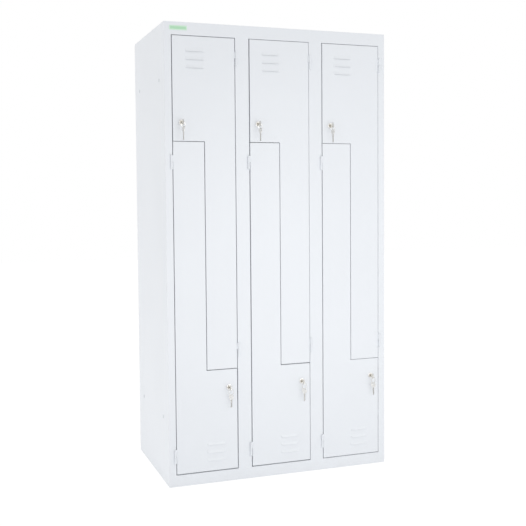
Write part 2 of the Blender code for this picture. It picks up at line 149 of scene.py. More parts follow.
class Bench:
    """A piece in hand, shaped with Blender's own modelling operators."""

    def __init__(self) -> None:
        """Take the active object and set its place into its mesh."""
        self.item: bpy.types.Object = bpy.context.object
        bpy.ops.object.transform_apply(location=True, rotation=True, scale=True)

    @staticmethod
    def clear() -> None:
        """Leave edit mode and select nothing."""
        if bpy.context.object and bpy.context.object.mode != "OBJECT":
            bpy.ops.object.mode_set(mode="OBJECT")
        bpy.ops.object.select_all(action="DESELECT")

    @classmethod
    def hold(cls, item: bpy.types.Object) -> None:
        """Make one object the only one that operators act on.

        Args:
            item: the object.
        """
        cls.clear()
        item.select_set(True)
        bpy.context.view_layer.objects.active = item

    @classmethod
    def take(cls, item: bpy.types.Object) -> "Bench":
        """Pick up a finished piece again."""
        cls.hold(item)
        return cls()

    @classmethod
    def block(cls, low: Sequence[float], high: Sequence[float]) -> "Bench":
        """Start from a cube stretched between two corners.

        Args:
            low: the lowest corner.
            high: the highest corner.

        Returns:
            The block in hand.
        """
        cls.clear()
        low, high = Vector(low), Vector(high)
        bpy.ops.mesh.primitive_cube_add(size=1, location=(low + high) / 2)
        bpy.ops.transform.resize(value=high - low)
        return cls()

    @classmethod
    def sheet(cls, low: Sequence[float], high: Sequence[float], facing: Vector) -> "Bench":
        """Start from a flat plane between two corners.

        Args:
            low: the lowest corner.
            high: the highest corner, level with the lowest along the facing direction.
            facing: the main direction that the plane looks along.

        Returns:
            The plane in hand.
        """
        cls.clear()
        low, high = Vector(low), Vector(high)
        turn = UP.rotation_difference(facing).to_euler()
        bpy.ops.mesh.primitive_plane_add(size=1, location=(low + high) / 2, rotation=turn)
        size = high - low
        bpy.ops.transform.resize(value=[abs(part) if abs(part) > TOUCH else 1 for part in size])
        return cls()

    @classmethod
    def rod(
        cls, radius: float, axis: Axis, start: float, end: float, centre: Vector, sides: int
    ) -> "Bench":
        """Start from a round bar.

        Args:
            radius: half the bar's thickness.
            axis: the direction of the bar.
            start: where the bar starts, along the axis from the centre.
            end: where it ends.
            centre: a point of its centre line.
            sides: faces round the bar.

        Returns:
            The bar in hand.
        """
        cls.clear()
        place = centre + axis.unit * (start + end) / 2
        bpy.ops.mesh.primitive_cylinder_add(
            vertices=sides, radius=radius, depth=end - start, location=place, rotation=axis.value
        )
        return cls()

    @classmethod
    def loop(cls, radius: float, place: Vector, axis: Axis, sides: int) -> "Bench":
        """Start from a circle of edges round an axis.

        Args:
            radius: the circle's radius.
            place: its middle.
            axis: the direction that it is square to.
            sides: edges round it.

        Returns:
            The circle in hand.
        """
        cls.clear()
        bpy.ops.mesh.primitive_circle_add(
            vertices=sides, radius=radius, fill_type="NOTHING", location=place, rotation=axis.value
        )
        return cls()

    @classmethod
    def turned(
        cls, profile: Sequence[tuple[float, float]], axis: Axis, centre: Vector, sides: int
    ) -> "Bench":
        """Draw a ring of edges along a profile, as a lathe would turn it.

        Args:
            profile: (radius, place along the axis) pairs. A last radius of zero closes that end,
                and a profile that ends where it starts leaves a bore.
            axis: the direction of the centre line.
            centre: the point of the centre line that the places are measured from.
            sides: faces round the piece.

        Returns:
            The closed piece in hand.
        """
        radius, along = profile[0]
        made = cls.loop(radius, centre + axis.unit * along, axis, sides)
        made.pick(Part.EDGE, lambda middle, way: True)
        for next_radius, next_along in profile[1:]:
            made.extrude(axis.unit * (next_along - along))
            growth = next_radius / radius
            made.resize([growth + (1 - growth) * part for part in axis.unit], centre)
            if next_radius:
                radius = next_radius
            along = next_along
        made.merge()
        if not profile[-1][0]:
            bpy.ops.mesh.select_mode(type="EDGE")
            bpy.ops.mesh.select_all(action="DESELECT")
            bpy.ops.mesh.select_non_manifold()
            bpy.ops.mesh.edge_face_add()
        return made.outwards()

    def edit(self) -> None:
        """Go into edit mode on this piece."""
        if self.item.mode != "EDIT":
            self.hold(self.item)
            bpy.ops.object.mode_set(mode="EDIT")

    def pick(self, part: Part, test: Test) -> "Bench":
        """Select by place and direction, and nothing else.

        Args:
            part: points, edges or faces.
            test: says yes or no from an element's middle and its normal, or an edge's direction.

        Returns:
            This piece.
        """
        self.edit()
        bpy.ops.mesh.select_mode(type=part.value)
        bpy.ops.mesh.select_all(action="DESELECT")
        shape = bmesh.from_edit_mesh(self.item.data)
        if part is Part.FACE:
            for face in shape.faces:
                face.select_set(test(face.calc_center_median(), face.normal))
        elif part is Part.EDGE:
            for edge in shape.edges:
                start, end = (point.co for point in edge.verts)
                edge.select_set(test((start + end) / 2, (end - start).normalized()))
        else:
            for point in shape.verts:
                point.select_set(test(point.co, point.normal))
        shape.select_flush_mode()
        bmesh.update_edit_mesh(self.item.data)
        return self

    def pick_all(self) -> "Bench":
        """Select the whole mesh.

        Returns:
            This piece.
        """
        self.edit()
        bpy.ops.mesh.select_all(action="SELECT")
        return self

    def pick_folds(self) -> "Bench":
        """Select the edges where faces meet sharply.

        Returns:
            This piece.
        """
        self.pick(Part.EDGE, lambda middle, way: False)
        bpy.ops.mesh.edges_select_sharp(sharpness=FOLD_ANGLE)
        return self

    def extrude(self, move: Sequence[float]) -> "Bench":
        """Draw the selection out by a move."""
        bpy.ops.mesh.extrude_region_move(TRANSFORM_OT_translate={"value": tuple(move)})
        return self

    def inset(self, width: float, depth: float = 0) -> "Bench":
        """Step the selected faces in by a width, and out by a depth."""
        bpy.ops.mesh.inset(thickness=width, depth=depth)
        return self

    def bevel(self, width: float, segments: int) -> "Bench":
        """Round the selected edges."""
        bpy.ops.mesh.bevel(offset=width, segments=segments, affect="EDGES")
        return self

    def slice(self, place: Sequence[float], normal: Vector) -> "Bench":
        """Cut the whole mesh along a plane and keep both sides.

        Args:
            place: a point of the plane.
            normal: the direction that the plane is square to.

        Returns:
            This piece.
        """
        self.pick_all()
        bpy.ops.mesh.bisect(plane_co=place, plane_no=normal)
        return self

    def move(self, way: Sequence[float]) -> "Bench":
        """Shift the selection."""
        bpy.ops.transform.translate(value=tuple(way))
        return self

    def resize(self, factors: Sequence[float], about: Vector) -> "Bench":
        """Stretch the selection about a point."""
        bpy.ops.transform.resize(value=tuple(factors), center_override=tuple(about))
        return self

    def spin(self, angle: float, steps: int, centre: Vector, axis: Vector) -> "Bench":
        """Sweep the selection round an axis."""
        bpy.ops.mesh.spin(steps=steps, angle=angle, center=centre, axis=axis)
        return self

    def subdivide(self, cuts: int) -> "Bench":
        """Divide the selected edges evenly."""
        bpy.ops.mesh.subdivide(number_cuts=cuts)
        return self

    def delete(self, part: Part) -> "Bench":
        """Remove the selection."""
        bpy.ops.mesh.delete(type=part.value)
        return self

    def merge(self) -> "Bench":
        """Weld points that lie on each other.

        Returns:
            This piece.
        """
        self.pick_all()
        bpy.ops.mesh.remove_doubles(threshold=TOUCH / 2)
        return self

    def outwards(self) -> "Bench":
        """Turn every face outwards.

        Returns:
            This piece.
        """
        self.pick_all()
        bpy.ops.mesh.normals_make_consistent(inside=False)
        return self

    def outwards_of_open(self, front: Vector) -> "Bench":
        """Turn an open skin so that its foremost face looks to the front.

        Args:
            front: the direction of the front.

        Returns:
            This piece.
        """
        self.outwards()
        shape = bmesh.from_edit_mesh(self.item.data)
        foremost = max(shape.faces, key=lambda face: face.calc_center_median().dot(front))
        if foremost.normal.dot(front) < 0:
            bpy.ops.mesh.flip_normals()
        return self

    def modify(self, kind: str, **settings: object) -> "Bench":
        """Add a modifier and apply it.

        Args:
            kind: the modifier's type.
            **settings: its properties.

        Returns:
            This piece.
        """
        self.hold(self.item)
        step = self.item.modifiers.new(kind.title(), kind)
        for key, value in settings.items():
            setattr(step, key, value)
        bpy.ops.object.modifier_apply(modifier=step.name)
        return self

    def wall(self, thickness: float) -> "Bench":
        """Give an open skin its thickness, inwards."""
        return self.modify("SOLIDIFY", thickness=thickness, offset=-1, use_even_offset=True)

    def ease(self, width: float) -> "Bench":
        """Take the sharpness off every corner edge."""
        settings = {"limit_method": "ANGLE", "angle_limit": CORNER_ANGLE}
        return self.modify("BEVEL", width=width, segments=EASE_STEPS, **settings)

    def boolean(self, change: Change, others: Iterable["Bench"]) -> "Bench":
        """Let other solids change this one, which uses them up.

        Args:
            change: what they do to it.
            others: the solids.

        Returns:
            This piece.
        """
        for other in others:
            self.clear()
            self.modify("BOOLEAN", operation=change.value, solver="EXACT", object=other.item)
            bpy.data.objects.remove(other.item)
        return self

    def done(self, weighted: bool = True) -> bpy.types.Object:
        """Shade the piece and let go of it.

        Args:
            weighted: whether large flat faces rule the shading beside small round ones.

        Returns:
            The finished object.
        """
        self.hold(self.item)
        bpy.ops.object.shade_smooth_by_angle(angle=SMOOTH_ANGLE)
        if weighted:
            self.modify("WEIGHTED_NORMAL", keep_sharp=True, weight=FLAT_WEIGHT)
        self.clear()
        return self.item


def copy_of(original: bpy.types.Object, place: Matrix) -> bpy.types.Object:
    """Copy a finished piece to another place, with a mesh of its own.

    Args:
        original: the piece to copy.
        place: the move from the original to the copy, which goes into the mesh.

    Returns:
        The copy.
    """
    made = original.copy()
    made.data = original.data.copy()
    made.data.transform(place)
    if place.is_negative:
        made.data.flip_normals()
    bpy.context.scene.collection.objects.link(made)
    return made


class Value:
    """A number that flows between shader nodes, with Python's operators."""

    def __init__(self, graph: "Graph", socket: bpy.types.NodeSocket) -> None:
        """Wrap a socket of a tree that is being built."""
        self.graph = graph
        self.socket = socket

    def sum(self, operation: str, first: "Value | float", second: "Value | float") -> "Value":
        """Add one Math node on two numbers."""
        node = self.graph.node("ShaderNodeMath", {"operation": operation}, {0: first, 1: second})
        return Value(self.graph, node.outputs[0])

    def __add__(self, other: "Value | float") -> "Value":
        """self + other."""
        return self.sum("ADD", self, other)

    __radd__ = __add__

    def __sub__(self, other: "Value | float") -> "Value":
        """self - other."""
        return self.sum("SUBTRACT", self, other)

    def __rsub__(self, other: "Value | float") -> "Value":
        """other - self."""
        return self.sum("SUBTRACT", other, self)

    def __mul__(self, other: "Value | float") -> "Value":
        """self * other."""
        return self.sum("MULTIPLY", self, other)

    __rmul__ = __mul__

    def at_most(self, other: "Value | float") -> "Value":
        """The smaller of the two."""
        return self.sum("MINIMUM", self, other)

    def at_least(self, other: "Value | float") -> "Value":
        """The larger of the two."""
        return self.sum("MAXIMUM", self, other)

    def size(self) -> "Value":
        """The number without its sign."""
        return self.sum("ABSOLUTE", self, 0)

    def ramp(self, low: float, high: float) -> "Value":
        """0 up to one level and 1 from another, with a soft rise between.

        Args:
            low: the level where it starts to rise.
            high: the level where it is full.

        Returns:
            The ramp.
        """
        sockets = {"Value": self, "From Min": low, "From Max": high}
        node = self.graph.node("ShaderNodeMapRange", {"interpolation_type": "SMOOTHSTEP"}, sockets)
        return Value(self.graph, node.outputs[0])


class Graph:
    """A node tree that is built node by node."""

    def __init__(self, tree: bpy.types.NodeTree) -> None:
        """Start with an empty tree."""
        self.tree = tree
        self.tree.nodes.clear()

    def node(
        self, kind: str, settings: dict[str, object], sockets: dict[str | int, object]
    ) -> bpy.types.Node:
        """Add a node.

        Args:
            kind: the node's type.
            settings: properties, set before the sockets.
            sockets: values or links by socket name or number.

        Returns:
            The node.
        """
        made = self.tree.nodes.new(kind)
        for key, setting in settings.items():
            setattr(made, key, setting)
        for key, given in sockets.items():
            self.feed(made.inputs[key], given)
        return made

    def feed(self, socket: bpy.types.NodeSocket, given: object) -> None:
        """Link or set one input.

        Args:
            socket: the input.
            given: a link's source or a plain value.
        """
        if isinstance(given, Value):
            given = given.socket
        if isinstance(given, bpy.types.NodeSocket):
            self.tree.links.new(given, socket)
        elif socket.type == "RGBA":
            socket.default_value = (*given, 1)
        else:
            socket.default_value = given

    def shows_background(self) -> Value:
        """1 for a ray from the camera, off a mirror or through glass, and 0 for one that lights.

        Returns:
            The mask.
        """
        rays = self.node("ShaderNodeLightPath", {}, {}).outputs
        kinds = ("Is Camera Ray", "Is Glossy Ray", "Is Transmission Ray")
        camera, glossy, through = (Value(self, rays[kind]) for kind in kinds)
        return camera.at_least(glossy).at_least(through)


@dataclass(frozen=True)
class Spots:
    """Cloudy noise, and the levels between which it rises from nothing to full."""

    size: float
    detail: float
    low: float = 0
    high: float = 1
    rough: float = 0.5  # how strong the finer layers are
    scale: Factors | None = None  # of the object's coordinates


class Shop(Graph):
    """Makes one material."""

    def __init__(self, name: str, shader: dict[str, object]) -> None:
        """Start a material on one Principled shader.

        Args:
            name: the material's name.
            shader: constants for the shader's own sockets.
        """
        self.material = bpy.data.materials.new(name)
        self.material.use_nodes = True
        super().__init__(self.material.node_tree)
        self.shader = self.node("ShaderNodeBsdfPrincipled", {}, shader)
        sockets = {"Surface": self.shader.outputs[0]}
        self.output = self.node("ShaderNodeOutputMaterial", {}, sockets)
        self.place = self.node("ShaderNodeTexCoord", {}, {}).outputs["Object"]

    def set(self, name: str, given: object) -> None:
        """Feed an input of the shader."""
        self.feed(self.shader.inputs[name], given)

    def noise(self, spots: Spots) -> Value:
        """Cloudy noise from 0 to 1.

        Args:
            spots: its size and detail. Its levels aren't used here.

        Returns:
            The noise.
        """
        place = self.place
        if spots.scale:
            sockets = {"Vector": place, "Scale": spots.scale}
            place = self.node("ShaderNodeMapping", {}, sockets).outputs[0]
        sockets = {"Vector": place, "Scale": 1 / spots.size, "Detail": spots.detail}
        sockets["Roughness"] = spots.rough
        return Value(self, self.node("ShaderNodeTexNoise", {}, sockets).outputs[0])

    def spots(self, spots: Spots) -> Value:
        """Separate spots, 0 between them and 1 within."""
        return self.noise(spots).ramp(spots.low, spots.high)

    def axes(self) -> tuple[Value, Value, Value]:
        """The object's coordinates, one number each."""
        outputs = self.node("ShaderNodeSeparateXYZ", {}, {0: self.place}).outputs
        return Value(self, outputs[0]), Value(self, outputs[1]), Value(self, outputs[2])

    def mix(self, share: Value | float, first: object, second: object) -> bpy.types.NodeSocket:
        """Blend two colours.

        Args:
            share: how much of the second colour there is.
            first: a colour, plain or a link's source.
            second: the other colour.

        Returns:
            The blend's socket.
        """
        settings = {"data_type": "RGBA", "clamp_factor": True}
        sockets = {0: share, FIRST_COLOUR: first, SECOND_COLOUR: second}
        return self.node("ShaderNodeMix", settings, sockets).outputs[MIXED_COLOUR]

    def bump(self, height: Value, distance: float) -> None:
        """Feed a relief to the shader's normal."""
        sockets = {"Height": height, "Distance": distance}
        self.set("Normal", self.node("ShaderNodeBump", {}, sockets).outputs[0])


def shaded(colour: Colour, factor: float) -> Colour:
    """A colour made lighter or darker."""
    return tuple(channel * factor for channel in colour)


@dataclass(frozen=True)
class PowderCoat:
    """Pale powder coat baked on steel sheet, with its orange peel and a trace of use."""

    name: str = "pale_grey_powder_coat"
    colour: Colour = (0.803, 0.826, 0.860)
    roughness: float = 0.40
    refraction: float = 1.5
    clouds: Spots = Spots(size=0.35, detail=3, low=0.3, high=0.75)
    cloud_share: float = 0.5
    cloud_shade: float = 0.975
    cloud_roughness: float = 0.08
    specks: Spots = Spots(size=0.00035, detail=1, low=0.62, high=0.8)
    speck_share: float = 0.35
    speck_shade: float = 0.95
    dust: Spots = Spots(size=0.08, detail=3, low=0.2, high=0.8)
    dust_height: float = 0.05  # above the floor
    dust_colour: Colour = (0.62, 0.61, 0.59)
    dust_share: float = 0.12
    dust_roughness: float = 0.15
    streaks: Spots = Spots(size=1, detail=3, low=0.66, high=0.8, scale=(35, 35, 9))
    scuffs: Spots = Spots(size=0.006, detail=5, low=0.5, high=0.7, rough=0.7)
    scuff_colour: Colour = (0.58, 0.60, 0.62)
    scuff_share: float = 0.12
    peel: Spots = Spots(size=0.0022, detail=2)
    peel_share: float = 0.75
    peel_depth: float = 0.00006

    def material(self) -> bpy.types.Material:
        """Make the material.

        Returns:
            The material.
        """
        shop = Shop(self.name, {"IOR": self.refraction})
        clouds, specks = shop.noise(self.clouds), shop.noise(self.specks)
        share = clouds.ramp(self.clouds.low, self.clouds.high) * self.cloud_share
        colour = shop.mix(share, self.colour, shaded(self.colour, self.cloud_shade))
        share = specks.ramp(self.specks.low, self.specks.high) * self.speck_share
        colour = shop.mix(share, colour, shaded(self.colour, self.speck_shade))
        dust = (1 - shop.axes()[2].ramp(0, self.dust_height)) * shop.spots(self.dust)
        colour = shop.mix(dust * self.dust_share, colour, self.dust_colour)
        scuffs = shop.spots(self.streaks) * shop.spots(self.scuffs)
        scuffed = scuffs * self.scuff_share
        shop.set("Base Color", shop.mix(scuffed, colour, self.scuff_colour))
        roughness = self.roughness + (clouds - 0.5) * self.cloud_roughness
        shop.set("Roughness", roughness + scuffed + dust * self.dust_roughness)
        peel = shop.noise(self.peel) * self.peel_share + specks * (1 - self.peel_share)
        shop.bump(peel, self.peel_depth)
        return shop.material


@dataclass(frozen=True)
class PlatedMetal:
    """Plated or bare metal with tarnish in its hollows and fine scratches."""

    name: str
    colour: Colour
    tarnish: Colour
    roughness: float
    stain: Spots = Spots(size=0.004, detail=5, low=0.42, high=0.72, rough=0.65)
    stain_share: float = 0.5
    stain_roughness: float = 0.18
    fine: Spots = Spots(size=1, detail=2, low=0.58, high=0.7, scale=(2600, 500, 160))
    fine_share: float = 0.6
    cross: Spots = Spots(size=1, detail=2, low=0.6, high=0.72, scale=(190, 420, 3100))
    cross_share: float = 0.5
    mark_share: float = 0.25
    mark_shade: float = 1.12
    mark_roughness: float = 0.1
    mark_depth: float = 0.00003
    pits: Spots = Spots(size=0.0012, detail=3)
    pit_share: float = 0.4

    def material(self) -> bpy.types.Material:
        """Make the material.

        Returns:
            The material.
        """
        shop = Shop(self.name, {"Metallic": 1.0})
        stain = shop.spots(self.stain)
        marks = shop.spots(self.fine) * self.fine_share + shop.spots(self.cross) * self.cross_share
        colour = shop.mix(stain * self.stain_share, self.colour, self.tarnish)
        bright = shaded(self.colour, self.mark_shade)
        shop.set("Base Color", shop.mix(marks * self.mark_share, colour, bright))
        roughness = self.roughness + stain * self.stain_roughness + marks * self.mark_roughness
        shop.set("Roughness", roughness)
        shop.bump(marks + shop.noise(self.pits) * self.pit_share, self.mark_depth)
        return shop.material


@dataclass(frozen=True)
class Moulding:
    """Moulded plastic or rubber with a fine spark-eroded grain."""

    name: str
    colour: Colour
    roughness: float
    refraction: float = 1.48
    grain: Spots = Spots(size=0.0006, detail=2)
    grain_depth: float = 0.00004
    grain_roughness: float = 0.12
    rub: Spots = Spots(size=0.012, detail=4, low=0.45, high=0.75, rough=0.65)
    rub_share: float = 0.3
    rub_shade: float = 0.88
    rub_gloss: float = 0.08

    def material(self) -> bpy.types.Material:
        """Make the material.

        Returns:
            The material.
        """
        shop = Shop(self.name, {"IOR": self.refraction})
        grain, rub = shop.noise(self.grain), shop.spots(self.rub)
        dull = shaded(self.colour, self.rub_shade)
        shop.set("Base Color", shop.mix(rub * self.rub_share, self.colour, dull))
        roughness = self.roughness + (grain - 0.5) * self.grain_roughness
        shop.set("Roughness", roughness - rub * self.rub_gloss)
        shop.bump(grain, self.grain_depth)
        return shop.material


@dataclass(frozen=True)
class EnamelLabel:
    """Pale green enamel of a bare label, a little lighter towards its edge."""

    name: str = "pale_green_enamel"
    colour: Colour = (0.43, 0.72, 0.48)
    edge: Colour = (0.66, 0.86, 0.70)
    edge_share: float = 0.1  # of the half height, before the colour starts
    field_share: float = 0.7  # of the half height, where it is full
    roughness: float = 0.35
    refraction: float = 1.5
    mottle: Spots = Spots(size=0.002, detail=4, low=0.35, high=0.7)
    mottle_share: float = 0.15
    mottle_roughness: float = 0.1
    ripple: Spots = Spots(size=0.0009, detail=2)
    ripple_depth: float = 0.00003

    def material(self, low: Vector, high: Vector) -> bpy.types.Material:
        """Make the material for a label between two corners.

        Args:
            low: the label's lowest corner.
            high: its highest corner.

        Returns:
            The material.
        """
        shop = Shop(self.name, {"IOR": self.refraction})
        across, _, up = shop.axes()
        middle, half = (low + high) / 2, (high - low) / 2
        beside, above = half.x - (across - middle.x).size(), half.z - (up - middle.z).size()
        inside = beside.at_most(above)
        full = inside.ramp(half.z * self.edge_share, half.z * self.field_share)
        mottle = shop.spots(self.mottle)
        colour = shop.mix(full, self.edge, self.colour)
        shop.set("Base Color", shop.mix(mottle * self.mottle_share, colour, self.edge))
        shop.set("Roughness", self.roughness + mottle * self.mottle_roughness)
        shop.bump(shop.noise(self.ripple), self.ripple_depth)
        return shop.material


@dataclass(frozen=True)
class StudioFloor:
    """White floor that the camera sees as white and that keeps a trace of the shadow."""

    name: str = "studio_floor"
    colour: Colour = (0.86, 0.87, 0.88)
    roughness: float = 0.8
    grain: Spots = Spots(size=0.01, detail=3)
    grain_share: float = 0.2
    grain_shade: float = 0.98
    glow: float = 1.11
    glow_share: float = 0.8  # of what the camera and mirrors see that is plain white

    def material(self) -> bpy.types.Material:
        """Make the material.

        Returns:
            The material.
        """
        shop = Shop(self.name, {"Roughness": self.roughness})
        share = shop.noise(self.grain) * self.grain_share
        shop.set("Base Color", shop.mix(share, self.colour, shaded(self.colour, self.grain_shade)))
        glow = shop.node("ShaderNodeEmission", {}, {"Color": WHITE, "Strength": self.glow})
        share = shop.shows_background() * self.glow_share
        sockets = {0: share, 1: shop.shader.outputs[0], 2: glow.outputs[0]}
        seen = shop.node("ShaderNodeMixShader", {}, sockets)
        shop.feed(shop.output.inputs["Surface"], seen.outputs[0])
        return shop.material


class Finishes:
    """The materials of the locker, each made once."""

    def __init__(self) -> None:
        """Make them all."""
        self.paint = PowderCoat().material()
        self.nickel, self.brass, self.steel, self.zinc, self.wire = (
            PlatedMetal(*looks).material()
            for looks in (  # name, colour, tarnish and roughness
                ("nickel_plate", (0.84, 0.83, 0.81), (0.56, 0.53, 0.48), 0.26),
                # the plug face's colour and tarnish are darker than plating alone: partly its own
                # duller face, partly painted shade that stands in for the dark reflections in the
                # lock
                ("plug_face_with_painted_shade", (0.70, 0.67, 0.61), (0.40, 0.36, 0.30), 0.3),
                ("key_steel", (0.83, 0.82, 0.79), (0.60, 0.57, 0.52), 0.3),
                ("zinc_plate", (0.66, 0.67, 0.68), (0.44, 0.45, 0.46), 0.38),
                ("spring_wire", (0.78, 0.77, 0.75), (0.56, 0.54, 0.51), 0.24),
            )
        )
        plug = Moulding("pale_plastic", colour=(0.66, 0.69, 0.72), roughness=0.5)
        rubber = Moulding("grey_rubber", colour=(0.10, 0.10, 0.105), roughness=0.75)
        self.plug, self.rubber = plug.material(), rubber.material()


def settle(
    piece: bpy.types.Object,
    name: str,
    finish: bpy.types.Material,
    body: str,
    nodes: Sequence[str] = (),
) -> None:
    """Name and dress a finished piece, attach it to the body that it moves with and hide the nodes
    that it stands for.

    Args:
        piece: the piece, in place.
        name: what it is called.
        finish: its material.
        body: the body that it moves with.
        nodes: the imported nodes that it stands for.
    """
    piece.name = name
    piece.data.name = name
    piece.data.materials.clear()
    piece.data.materials.append(finish)
    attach(piece, body)
    if nodes:
        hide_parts(*nodes)
    log.info("%s: %d faces, rides on %s", name, len(piece.data.polygons), body)


@dataclass(frozen=True)
class Layout:
    """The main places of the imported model."""

    half_width: float
    height: float
    face: float  # front of the face frame and of the doors
    back: float
    stop_front: float  # face of the lips that the doors close on
    columns: tuple[float, ...]
    leaf_half: float
    leaf_low: float
    leaf_high: float
    leg_end: float  # lower end of the upper door's narrow leg
    step: float  # upper end of the lower door's narrow leg
    joints: dict[str, dict]
    gap: float = 0.0026  # round every door

    @classmethod
    def read(cls) -> "Layout":
        """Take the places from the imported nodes.

        Returns:
            The layout.
        """
        face_low, face_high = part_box("front_frame")
        (left, _, leg_end), (_, _, leaf_high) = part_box("upper_door_1")
        (_, _, leaf_low), (right, _, step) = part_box("lower_door_1")
        count = sum(name.startswith("upper_door_") for name in frame["nodes"])
        pitch = (face_high.x - face_low.x) / count
        return cls(
            half_width=face_high.x,
            height=face_high.z,
            face=face_low.y,
            back=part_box("back_panel")[1].y,
            stop_front=face_high.y - SHEET,
            columns=tuple(face_low.x + pitch * (index + 0.5) for index in range(count)),
            leaf_half=(right - left) / 2,
            leaf_low=leaf_low,
            leaf_high=leaf_high,
            leg_end=leg_end,
            step=step,
            joints={joint["name"]: joint for joint in frame["joints"]},
        )

    @property
    def opening_half(self) -> float:
        """From the middle of a column to the side of its doorway."""
        return self.leaf_half + self.gap

    @property
    def middle(self) -> float:
        """The height that each pair of doors is turned about."""
        return (self.leaf_low + self.leaf_high) / 2

    def shift(self, number: int) -> Matrix:
        """The move from the first column to another."""
        return Matrix.Translation((self.columns[number - 1] - self.columns[0], 0, 0))

    def joint_place(self, name: str) -> Vector:
        """A point on a joint's axis."""
        return Vector(self.joints[name]["pos_m"])


@dataclass
class SubAssembly:
    """What every sub-assembly is made from."""

    layout: Layout
    finishes: Finishes

    def in_columns(self, pattern: bpy.types.Object) -> list[tuple[int, bpy.types.Object]]:
        """Copy a piece of the first column to the others.

        Args:
            pattern: the finished piece.

        Returns:
            Each column's number and its piece, the first column last.
        """
        shift = self.layout.shift
        others = range(len(self.layout.columns), 1, -1)
        return [(number, copy_of(pattern, shift(number))) for number in others] + [(1, pattern)]


@dataclass
class RowAssembly(SubAssembly):
    """A sub-assembly that each door of one row has."""

    row: Row

    def across(self, distance: float) -> float:
        """A place at a distance from the first column's middle towards the hinges."""
        return self.layout.columns[0] + self.row.side * distance

    def span(self, first: Sequence[float], second: Sequence[float]) -> tuple[Vector, Vector]:
        """The lowest and highest corner of the block between two places."""
        pairs = list(zip(first, second))
        return Vector([min(pair) for pair in pairs]), Vector([max(pair) for pair in pairs])


